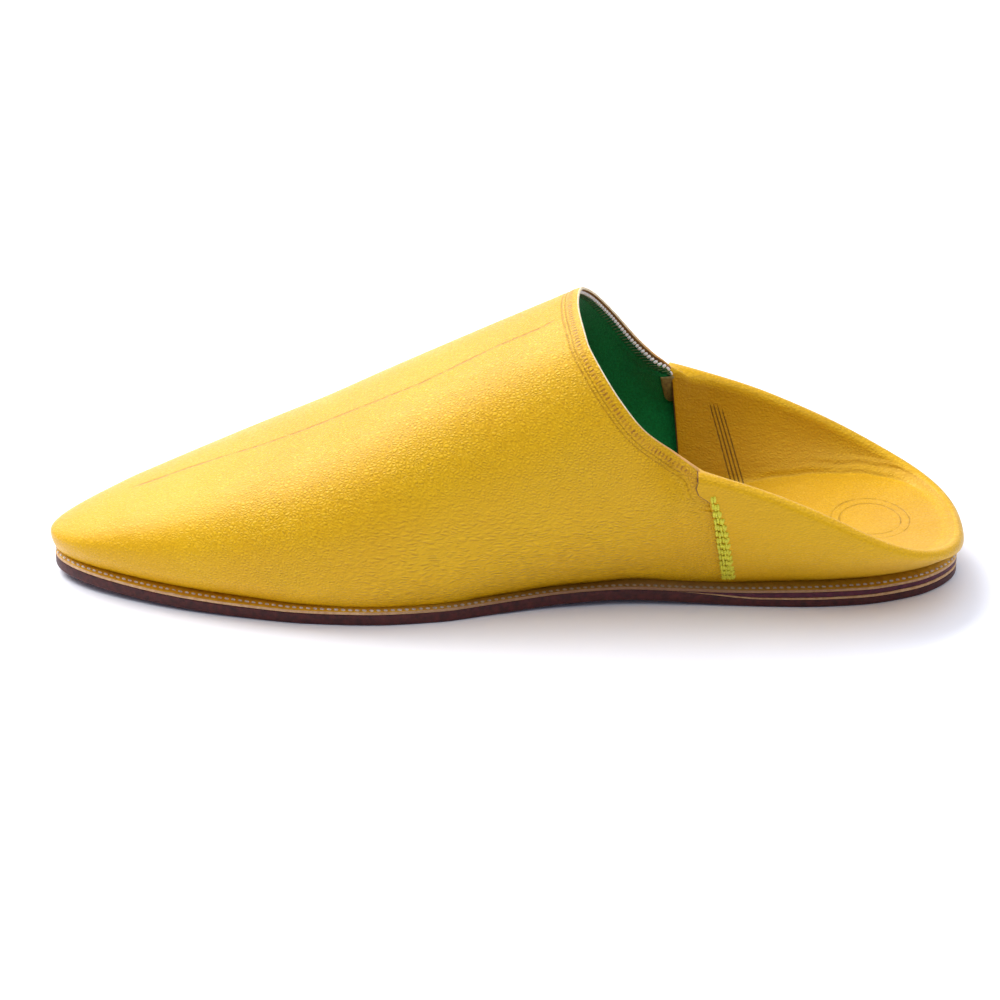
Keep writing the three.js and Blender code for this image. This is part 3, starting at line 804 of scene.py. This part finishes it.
# Height of a fine crease, its distance past the main one, share of the wander, width, x where it begins
FINE_CREASES = [
    (-0.3, 0, 0, 0.8, 0), (0.12, -2, 0, 0.9, 0), (-0.13, -3.6, 0.4, 0.7, -95),
    (0.14, -4.9, 0, 0.8, -95), (-0.1, -6.5, -0.6, 0.6, -102), (-0.1, 2.3, 0.5, 0.7, -100),
]
crease_in, crease_z, middle_z = (curve(SEAT_X, values) for values in (CREASE_IN, CREASE_Z, MIDDLE_Z))
pull_at = curve(
    [-90, -75, -62, -58.8, -54, -50, -46, -42, -38, -33, -20],
    [0, 0, 0.3, 1.2, 3.7, 4.4, 3.3, 1.9, 0.9, 0.25, 0],
)


def seam_at(z):
    return np.interp(z, SEAM_Z, SEAM_X)


def wall(foot, outer, height, count, bow=WALL_BOW):
    """From the foot of the upper towards its widest point, the last point left out."""
    down = 1 - np.arange(count) / count
    xy = outer + (foot - outer) * (down**bow)[:, None]
    return np.column_stack([xy, mix(height, foot_height(foot[0]), down)])


class Sheet:
    """Dense grid that is read at any place along (u, millimetres) and column."""

    def __init__(self, u, grid, outward):
        self.u, self.grid = u, grid
        n = np.cross(np.gradient(grid, axis=0), np.gradient(grid, axis=1))
        flat = np.argwhere(np.linalg.norm(n, axis=-1) < 1e-9)
        n = unit(n)
        for i, j in sorted(flat, key=lambda at: at[1]):
            n[i, j] = n[i, j - 1]
        n *= np.sign((n * outward).sum())
        n[:, -1, 1] = 0
        n[grid[..., 1] == 0, 1] = 0
        self.normals = unit(n)

    def columns(self, u):
        """Points and normals for u of shape rows by columns."""
        points, normals = (
            np.stack([interpolate(u[:, j], self.u, source[:, j]) for j in range(u.shape[1])], 1)
            for source in (self.grid, self.normals)
        )
        return points, unit(normals)

    def at(self, u, c):
        """Point and normal at one place along and one column, both fractional."""
        c = float(np.clip(c, 0, self.grid.shape[1] - 1))
        j = min(int(c), self.grid.shape[1] - 2)
        point, normal = (
            mix(*(interpolate(u, self.u, source[:, k]) for k in (j, j + 1)), c - j)
            for source in (self.grid, self.normals)
        )
        return point, unit(normal)


def far_corner(points):
    """How far the fold's front end on the far side is ahead of the near one."""
    x, y, z = axes(points)
    return 5.2 * ease(x, -76, -62) * ease(z, 40, 48) * ease(y, -20, -30)


def far_drop(points):
    """The far end of the throat edge dips behind the quarter."""
    x, y, z = axes(points)
    return 2.6 * ease(x, -51.2, -54.8) * ease(z, 42, 50) * ease(y, -20, -30)


def ripple(points, scale, seed):
    """Soft wandering value from -1 to 1 at each point."""
    x, y, z = axes(points / scale)
    return (
        np.sin(1.3 * x + 2.1 * np.sin(0.7 * z + seed) + seed)
        + np.sin(1.1 * z - 1.7 * np.sin(0.6 * x - seed) + 2 * seed)
        + np.sin(0.9 * y + 1.2 * x + 3 * seed)
    ) / 3


def close_middle(points):
    """Brings the last column and the last row to the middle."""
    points[:, -1, 1] = 0
    points[-1, :, 1] = 0


def padded(field):
    return join([field[:, :1], field], 1)


def with_margin(points, normals, end):
    """The sheet with its lasting margin before the first column, turned in under the insole."""
    pivot, turns, _ = zip(*fan(end, FAN_STEPS))
    place = shelf(foot_line, MARGIN, foot_height)
    margin = []
    for value in u[:, 0]:
        past = (value - along(pivot[0])) * end
        turn = np.interp(past, FAN_RUN, turns, left=0)
        margin.append(place((pivot[0], turn, end) if past > 0 else (share(value), 0.0, 0)))
    margin = np.array(margin)[:, None]
    margin[-1, 0, 1] = 0
    down = margin * 0 + (0, 0, -1)
    foot_normal = unit(normals[:, :1] * (1, 1, 0) + down)
    return join([margin, points], 1), join([down, foot_normal, normals[:, 1:]], 1)


# Vamp
def vamp_section(station):
    rim, foot = edge(wide_line, station), edge(foot_line, station)
    level = level_at(share(rim[0]))
    angle = np.pi / 2 * (1 - np.arange(91) / 90)
    power = 2 / square_at(station[0])
    reach, height = np.sin(angle) ** power, np.cos(angle) ** power
    height[0], reach[-1] = 0, 0
    spine = np.array([along(station[0]), 0.0])
    xy = spine + (rim - spine) * reach[:, None]
    z = level + (ridge_at(share(xy[:, 0])) - level) * height
    section = join([wall(foot, rim, level, 50), np.column_stack([xy, z])])
    length = run_along(section)
    return interpolate(np.linspace(0, length[-1], VAMP_COLUMNS), length, section)


u_straight = np.linspace(VAMP_BACK_X - 4, TOE_X, STRAIGHT_ROWS)
stations = [(share(x), 0.0, 0) for x in u_straight] + fan(1, FAN_STEPS)
vamp_grid = np.array([vamp_section(station) for station in stations])
x, y, z = axes(vamp_grid)
# The sides are pulled in below the corners of the throat
edge_z = throat_at(np.clip(share(x), THROAT_AT[0], THROAT_AT[-2]))
pull = pull_at(np.clip(x, -90, -20)) * ease(z - edge_z, -19, 0)
vamp_grid[..., 1] -= pull * np.minimum(1, y / 25)
# Under the quarter the vamp draws in by the quarter's thickness
behind = seam_at(z) - x
dip = (0.28 * ease(behind, -7, 0) + 0.85 * ease(behind, -0.2, 1.8)) * ease(z, 8.2, 11.2) * (x < -40)
outward = vamp_grid - np.stack([np.clip(x, -60, 60), 0 * x, 0 * x + 25], -1)
vamp = Sheet(join([u_straight, TOE_X + FAN_RUN]), vamp_grid, outward)
vamp.grid = vamp_grid - vamp.normals * dip[..., None]

# Where each column starts: at the back of the vamp, or where it comes out from under the throat cut
throat_z = throat_at(np.clip(share(u_straight), THROAT_AT[0], THROAT_AT[-1]))
column = np.arange(VAMP_COLUMNS)
ends = np.full(VAMP_COLUMNS, VAMP_BACK_X)
for j in column:
    free = throat_z - vamp_grid[:STRAIGHT_ROWS, j, 2]
    cut = np.flatnonzero(free < 0)
    if len(cut):
        i = min(cut[-1], STRAIGHT_ROWS - 2)
        t = np.clip(free[i] / (free[i] - free[i + 1]), 0, 1)
        ends[j] = max(VAMP_BACK_X, mix(u_straight[i], u_straight[i + 1], t))
# The front of the throat is a flat bow
across = np.array([np.interp(ends[j], u_straight, vamp_grid[:STRAIGHT_ROWS, j, 1]) for j in column])
ends = np.where((across < 23) & (ends > -40), -21.85 - 1.35 * (across / 17) ** 2, ends)
# Rows near the edge lie further apart where the edge runs aslant
cut_line = np.array([vamp.at(ends[j], j)[0] for j in column])
spacing = np.linalg.norm(np.gradient(cut_line, axis=0)[:, 1:], axis=1)
stretch = np.clip(np.sqrt(1 + (np.gradient(ends) / np.maximum(spacing, 0.3)) ** 2), 1, 2.6)
stretch = np.convolve(np.pad(stretch, 3, mode="edge"), np.ones(7) / 7, "valid")
zone = ends + NEAR_ROWS[-1] * stretch
far = np.linspace(0, 1, FAR_ROWS + 1)[1:, None]
u = join([ends + NEAR_ROWS[:, None] * stretch, mix(zone, TOE_X + FAN_LENGTH, far)])
vamp_points, vamp_normals = vamp.columns(u)
edge_line = vamp_points[0]
edge_run = run_along(edge_line)


def nearest_edge(points):
    """Distance to the throat edge and the run along it, for the points near it."""
    fine_run = np.arange(0, edge_run[-1], 0.25)
    fine_edge = interpolate(fine_run, edge_run, edge_line)
    kept = fine_edge[:, 0] > -62
    flat = points.reshape(-1, 3)
    distance, where = np.full(len(flat), 30.0), np.zeros(len(flat))
    close = np.flatnonzero((flat[:, 0] < 0) & (flat[:, 2] > 35))
    for part in np.array_split(close, 12):
        gap = np.linalg.norm(flat[part][:, None] - fine_edge[kept], axis=-1)
        distance[part] = gap.min(1)
        where[part] = fine_run[kept][gap.argmin(1)]
    return distance.reshape(points.shape[:2]), where.reshape(points.shape[:2])


rim, run_field = nearest_edge(vamp_points)
x, y, z = axes(vamp_points.copy())
# Wrinkles pulled in at the corner of the throat, tooled lines and bank along it, a broad unevenness
waves = np.sin(2 * np.pi * (rim * 0.8 + x * 0.12) / 2.3)
pulled = 0.16 * bell(x, -52, 8) * ease(z, 40, 46) * waves * ease(rim, 3, 6) * ease(rim, 14, 9)
rails = (bell(rim, FIRST_RAIL, 0.28) + bell(rim, SECOND_RAIL, 0.32)) * ease(x, -59, -54)
bank = 0.12 * bell(rim, 2.3, 0.9) - 0.16 * rails
broad = 0.22 * ripple(vamp_points, 17, 1.3) * ease(rim, 3, 11)
tip_fade = ease(np.linalg.norm(vamp_points - vamp_points[-1, -1], axis=-1), 0, 10)
lift = (pulled + bank + broad * tip_fade) * (x > -62)
vamp_points = vamp_points + vamp_normals * lift[..., None]
close_middle(vamp_points)
fields = {"rim": rim, "run": run_field, "low": ease(z, 58, 28) * ease(x, -62, -37) * ease(x, 75, 30)}
vamp_points, vamp_normals = with_margin(vamp_points, vamp_normals, 1)
p, n, kept, tri = both_sides(vamp_points, vamp_normals, {key: padded(field) for key, field in fields.items()})
x, y, z = p.T
kept["rim_on"] = ease(x, -59, -54)
# Painted shade along the foot of the vamp where it meets the welt, from the waist back.
kept["foot"] = ease(z - foot_height(x), 4.3, -0.2) * ease(x, 30, -15)
kept["tool"] = y - np.interp(x, TOOL_X, TOOL_Y)
kept["tool_on"] = ease(x, -15.5, -13.5) * ease(x, 121, 115) * (z > 14)
points, faces, index, kept = thicken(p, n, kept, tri, 1.05)
points[:, 2] -= far_drop(points)
vamp_piece = add_mesh("vamp", points, faces, [vamp_leather, cut_edge, flesh], index, kept)
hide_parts("upper")

# Green lining of the vamp, its edge set down from the throat edge
rows = np.r_[4, 6, np.arange(8, len(u) - 1, 2), len(u) - 1]
cols = np.r_[1, np.arange(3, VAMP_COLUMNS, 2), VAMP_COLUMNS]
lining_points = (vamp_points - vamp_normals * 1.12)[rows][:, cols]
lining_points[..., 1] = np.maximum(lining_points[..., 1], 0)
close_middle(lining_points)
points, faces, _, _ = thicken(*both_sides(lining_points, vamp_normals[rows][:, cols], {}), 0.62)
points[:, 2] -= far_drop(points)
lining = add_mesh("vamp_lining", points, faces, [felt])


# Quarter: wall, fold, and the part turned in over the heel seat
def bezier(a, b, c, d, count):
    t = np.linspace(0, 1, count)[:, None]
    return a * (1 - t) ** 3 + 3 * b * t * (1 - t) ** 2 + 3 * c * t * t * (1 - t) + d * t**3


def rounded(polyline, spread, step=0.25):
    """Rounds the corners of a polyline, its ends kept."""
    length = run_along(polyline)
    line = interpolate(np.arange(0, length[-1], step), length, polyline)
    reach = int(3 * spread / step)
    kernel = bell(np.arange(-reach, reach + 1) * step, 0, spread * np.sqrt(2))
    ends = 2 * line[0] - line[reach:0:-1], 2 * line[-1] - line[-2:-reach - 2:-1]
    line = join([ends[0], line, ends[1]])
    out = np.stack([np.convolve(line[:, k], kernel / kernel.sum(), "valid") for k in range(3)], -1)
    return join([out, polyline[-1:]])


def quarter_section(station):
    """Points from the foot over the fold to the middle of the seat, and how far each is past the crease."""
    middle, foot = edge(fold_line, station), edge(foot_line, station)
    turn = station[1]
    spine = np.array([along(station[0]), 0.0])
    outward = unit(middle - spine)
    centre = fold_top_at(share(middle[0])) - FOLD_RADIUS
    bow = mix(WALL_BOW, WALL_BOW_BACK, turn)
    lower = wall(foot, middle + outward * FOLD_RADIUS, centre, WALL_COLUMNS, bow)
    sweep = np.radians(mix(172, 104, turn**2))
    angle = sweep * np.arange(FOLD_COLUMNS + 1) / FOLD_COLUMNS
    xy = middle + outward * (FOLD_RADIUS * np.cos(angle))[:, None]
    fold = np.column_stack([xy, centre + FOLD_RADIUS * np.sin(angle)])
    start = fold[-1]
    crease_xy = middle - outward * crease_in(middle[0])
    crease = np.array([*crease_xy, min(crease_z(middle[0]), start[2] - 0.3)])
    heading = np.array([*(-np.sin(sweep) * outward), np.cos(sweep)])
    span = np.linalg.norm(crease - start)
    leg = bezier(start, start + heading * span * 0.42, mix(crease, start, 0.25), crease, 60)
    t = np.linspace(0, 1, 90)[1:]
    xy = mix(crease_xy, spine, t[:, None])
    z = middle_z(xy[:, 0]) + (crease[2] - middle_z(crease_xy[0])) * (1 - t) ** 1.7
    inner = rounded(join([leg, np.column_stack([xy, z])]), mix(1.1, 0.7, turn))
    length = run_along(inner)
    bend = length[np.argmin(np.linalg.norm(inner - crease, axis=1))]
    leg_stops = bend * (1 - (1 - np.arange(1, LEG_COLUMNS + 1) / LEG_COLUMNS) ** 1.25)
    seat_stops = mix(bend, length[-1], (np.arange(1, SEAT_COLUMNS + 1) / SEAT_COLUMNS) ** 1.35)
    stops = join([leg_stops, seat_stops])
    return join([lower, fold, interpolate(stops, length, inner)]), stops - bend


def front_of(j):
    """x of the front end of one of the quarter's columns."""
    z = q_grid[:QUARTER_STRAIGHT_ROWS, j, 2]
    if j < WALL_COLUMNS:
        past = np.flatnonzero(q_straight <= seam_at(z))
        return q_straight[past[0]] if len(past) else -58
    if j < INNER:
        return mix(-58.4, CORNER_X, ease(j, INNER - 5, INNER - 2))
    depth = (q_grid[5, INNER, 2] - z[5]) / 36
    return CORNER_X - 3.4 * min(depth, 1) ** 0.8


q_straight = np.linspace(-52.0, HEEL_X, QUARTER_STRAIGHT_ROWS)
stations = [(share(x), 0.0, 0) for x in q_straight] + fan(-1, FAN_STEPS)
q_grid, bend_distance = (np.array(part) for part in zip(*map(quarter_section, stations)))
column = np.arange(q_grid.shape[1])
outward = q_grid - (-80, 0, 20)
outward[:, INNER:] = (0, 0, 1)
quarter = Sheet(-join([q_straight, HEEL_X - FAN_RUN]), q_grid, outward)
front = np.array([front_of(j) for j in column])
u = mix(front, HEEL_X - FAN_LENGTH, np.linspace(0, 1, QUARTER_ROWS + 1)[:, None])
q_points, q_normals = quarter.columns(-u)
bend_field = np.full(u.shape, -60.0)
for j in column[INNER:]:
    bend_field[:, j] = np.interp(-u[:, j], quarter.u, bend_distance[:, j - INNER])
# The turned-in part leans in behind the corner of the throat
x, y, z = axes(q_points)
lean = np.interp(x, [-76, -66, -60, -54], [0, 0.4, 1.4, 2.7]) * ease(z, 18, 48)
y -= lean * ease(column, INNER - 9, INNER - 4) * (y > 5)
z += 1.7 * ease(x, -61, -56) * ease(z, 44, 51) * ease(column, INNER - 6, INNER - 3)
# Creases along the heel seat: a trough with finer ridges beside it, fading forwards and at the back
strength = ease(x, -70, -92) * ease(x, -139, -125)
wander = 0.4 * np.sin(x / 5.3) + 0.2 * np.sin(x / 2.3 + 1)
d = bend_field + wander
fine_creases = sum(
    height * bell(d + part * wander, centre, width) * ease(x, begin, begin - 12)
    for height, centre, part, width, begin in FINE_CREASES
)
lift = strength * fine_creases * (bend_field > -40)
lift += 0.12 * ripple(q_points, 11, 2.7) * (bend_field < -40) * ease(z, 10, 16)
# The wall comes down to the vamp along the side seam
lift -= 0.5 * ease(seam_at(z) - x, 2.5, 0) * ease(z, 46, 44) * (column < WALL_COLUMNS)
q_points = q_points + q_normals * lift[..., None]
close_middle(q_points)
q_points, q_normals = with_margin(q_points, q_normals, -1)
d = padded(d)
inner = join([[False], column >= INNER]) + 0 * d
creases = bell(d, 0, 0.6) + 0.25 * bell(d, -3.6, 0.6) + 0.2 * bell(d, 2.3, 0.6)
p, n, kept, tri = both_sides(q_points, q_normals, {
    "crease": padded(strength) * np.clip(creases, 0, 1) * inner,
    "seat": inner * (d > 1),
    "turned": inner * ease(d, 1, -4),
    "inside": inner,
    "low": np.full(d.shape, 0.35),
    "wall": ease(np.arange(-1, len(column)), INNER - 1, INNER - 5) + 0 * d,
})
x, y, z = p.T
# Painted shade along the foot of the quarter's outside wall.
kept["foot"] = ease(z - foot_height(x), 4.3, -0.2) * (kept["inside"] < 0.5)
# The turned-in part's painted shade is strongest near the corner of the throat.
kept["turned"] *= mix(0.55, 1, ease(x, -92, -62))
# Four tooled lines: each unit of the field is the place of one, counted from the first
down = (42 - z) / 28
tool = (mix(-65.9, -74.2, down) - x) / mix(1.15, 1.33, down)
top = 42.5 - 0.8 * tool
within = ease(tool, -0.5, -0.3) * ease(tool, 3.5, 3.3) * ease(z, top, top - 1.5) * ease(z, 14.5, 16)
kept["tool"] = tool
kept["tool_on"] = within * kept["inside"] * (np.abs(y) > 23)
points, faces, index, kept = thicken(p, n, kept, tri, 1.15)
ahead = far_corner(points) * kept.pop("wall")
points[:, 0] += ahead
points[:, 2] += 0.3 * ahead
# The rim shows leather, not its dyed edge, along the side seam and at the front of the fold
x, y, z = points[faces].mean(1).T
seam_rim = (z < 43.5) & (x < seam_at(z) + 1.6) & (np.abs(y) > 20)
corner_rim = (z > 49) & (np.abs(y) > 36.6) & (x > -58)
index[(index == 1) & (seam_rim | corner_rim)] = 0
quarter_piece = add_mesh("quarter", points, faces, [quarter_leather, dyed_edge, flesh], index, kept)


# Whip stitches that hold the lining's edge
def whip_point(stop, depth, inwards, slide):
    """Point inside the throat edge and its normal, at a run that goes on over the far side."""
    side = 1 if stop <= edge_run[-1] else -1
    run = stop if side > 0 else 2 * edge_run[-1] - stop
    column = np.arange(VAMP_COLUMNS)
    here, slid = (np.interp(at, edge_run, column) for at in (run, run + slide * side))
    start, reach = (np.interp(here, column, values) for values in (ends, stretch))
    point, normal = vamp.at(start + depth * reach, slid)
    mirror = np.array([1, side, 1])
    return (point - normal * inwards) * mirror, -normal * mirror


def whip_threads(start, end, width, height):
    starts, _ = zip(*(whip_point(stop, *start) for stop in stops))
    tips, ups = zip(*(whip_point(stop, *end) for stop in stops))
    return capsules(*map(np.array, (starts, tips, ups)), width, height)


WHIP_PITCH = 1.32
throat_start = np.interp(-56.5, edge_line[:, 0], edge_run)
whole = 2 * (edge_run[-1] - throat_start)
stops = np.linspace(throat_start, throat_start + whole, int(whole / WHIP_PITCH))
heads, head_faces = whip_threads((0.75, 1.1, -0.2), (1.45, 1.8, 0.2), 1.2, 1.0)
# Tails take the painted-shade copy of the white thread.
tails, tail_faces = whip_threads((1.35, 1.85, 0.15), (2.9, 1.9, 0.5), 0.42, 0.35)
points = join([heads, tails])
points[:, 2] -= far_drop(points)
index = np.repeat([0, 1], [len(head_faces), len(tail_faces)])
faces = join([head_faces, tail_faces + len(heads)])
whip = add_mesh("whip_stitches", points, faces, [white_thread, shaded_white_thread], index)

# Side seam embroidery: short upright threads in blocks, narrow at the top and wide towards the sole
BLOCKS = 14
THREAD_LENGTH = 2.4
THREAD_PITCH = 0.8
UNEVEN = 0.04


def wall_place(x, z):
    """Point and normal on the outside of the quarter's wall."""
    x += rng.normal(0, UNEVEN)
    top = fold_top_at(share(x)) - FOLD_RADIUS
    point, normal = quarter.at(-x, np.interp(z, [foot_height(x), top], [0, WALL_COLUMNS]))
    return point + normal * 0.05, normal


threads = []
for row in range(BLOCKS):
    block_top = mix(45.6, 11.5, row / (BLOCKS - 1))
    left = np.interp(block_top, [11, 44, 46], [-67.3, -62.5, -62.2])
    wide = np.interp(row, [0, 1, 3, 5, 13], [1.5, 2.2, 3.5, 4.2, 4.5])
    count = max(2, int(round(wide / THREAD_PITCH)))
    for k in range(count):
        x = left - wide * (k + 0.5) / count
        lean = 0.22 if k < count * 0.7 else -0.4
        z = block_top + 0.3 * np.sin(2.4 * k + 1.7 * row)
        top, top_normal = wall_place(x, z)
        tip, tip_normal = wall_place(x - lean, z - THREAD_LENGTH)
        threads.append((top, tip, (top_normal + tip_normal) / 2))
starts, tips, ups = (join([part, np.array(part) * MIRROR]) for part in zip(*threads))
points, faces = capsules(starts, tips, ups, 1.02, 1.05)
embroidery = add_mesh("seam_embroidery", points, faces, [lime_thread])

# Ends of the lining's binding, hanging inside each corner of the throat
TAB_ROWS, TAB_COLUMNS = 14, 6
TAB_WIDTH, TAB_LENGTH, TAB_TOP = 3.0, 9.5, 52.2
grid, normals = np.zeros((2, TAB_ROWS, TAB_COLUMNS, 3))
for i, k in np.ndindex(TAB_ROWS, TAB_COLUMNS):
    down, across = i / (TAB_ROWS - 1), k / (TAB_COLUMNS - 1) - 0.5
    width = TAB_WIDTH * np.sqrt(max(0.05, 1 - max(0, (down - 0.75) / 0.27) ** 2))
    place = -51.7 - 1.6 * down + across * width
    heights = vamp.grid[int(np.interp(place, vamp.u, np.arange(len(vamp.u)))), :, 2]
    point, normal = vamp.at(place, np.interp(TAB_TOP - TAB_LENGTH * down, heights, np.arange(VAMP_COLUMNS)))
    grid[i, k] = point - normal * (2.55 + 0.3 * np.sin(np.pi * down))
    normals[i, k] = -normal
points, faces, _, _ = thicken(*both_sides(grid, normals, {}), 0.7)
tab = add_mesh("binding_ends", points, faces, [tab_leather])

# Floor, light and camera
FLOOR_SIZE = 6.0
FLOOR_TINTS = (0.92, 0.925, 0.96, 1), (0.94, 0.945, 0.98, 1)
SKY = (0.56, 0.68, 1.0, 1)
SKY_STRENGTH = 0.37
CAMERA_PLACE = (0.00215, 1.08757, 0.53138)
CAMERA_AIM = (0.00215, 0, 0.02424)
CAMERA_LENS = 135.65

s = Shading("floor_white")
tint = s.ramp(s.noise(0.002), 0.2, 0.8)
floor_white = s.finish(s.blend(tint, *FLOOR_TINTS), None, 0.9, specular_ior_level=0.1)
floor_mesh = bpy.data.meshes.new("floor")
corners = [(FLOOR_SIZE * x, FLOOR_SIZE * y, 0) for x, y in ((-1, -1), (1, -1), (1, 1), (-1, 1))]
floor_mesh.from_pydata(corners, [], [(0, 1, 2, 3)])
floor_mesh.materials.append(floor_white)
floor = bpy.data.objects.new("floor", floor_mesh)
bpy.context.scene.collection.objects.link(floor)

world = bpy.data.worlds.new("studio")
world.use_nodes = True
world.node_tree.nodes["Background"].inputs["Color"].default_value = SKY
world.node_tree.nodes["Background"].inputs["Strength"].default_value = SKY_STRENGTH
bpy.context.scene.world = world


def aim_at(made, place, aim):
    made.location = place
    made.rotation_euler = (Vector(aim) - Vector(place)).to_track_quat("-Z", "Y").to_euler()
    bpy.context.scene.collection.objects.link(made)


def lamp(name, place, aim, width, height, watts):
    data = bpy.data.lights.new(name, "AREA")
    data.shape = "RECTANGLE"
    data.size = width
    data.size_y = height
    data.energy = watts
    aim_at(bpy.data.objects.new(name, data), place, aim)


lamp("overhead", (0.15, 0.15, 1.6), (0, 0, 0), 3.0, 2.4, 30)
lamp("upper_left", (0.72, -0.6, 1.1), (0, 0, 0.03), 1.3, 0.9, 24)
lamp("right_fill", (-1.1, 0.2, 0.9), (0, 0, 0.02), 1.0, 0.8, 2.6)
lamp("backdrop", (0.3, -2.1, 0.85), (0, 0, 0.25), 3.4, 1.6, 16)

camera_data = bpy.data.cameras.new("camera")
camera_data.sensor_width = 36
camera_data.lens = CAMERA_LENS
camera = bpy.data.objects.new("camera", camera_data)
aim_at(camera, CAMERA_PLACE, CAMERA_AIM)
bpy.context.scene.camera = camera
bpy.context.scene.view_settings.view_transform = "Standard"
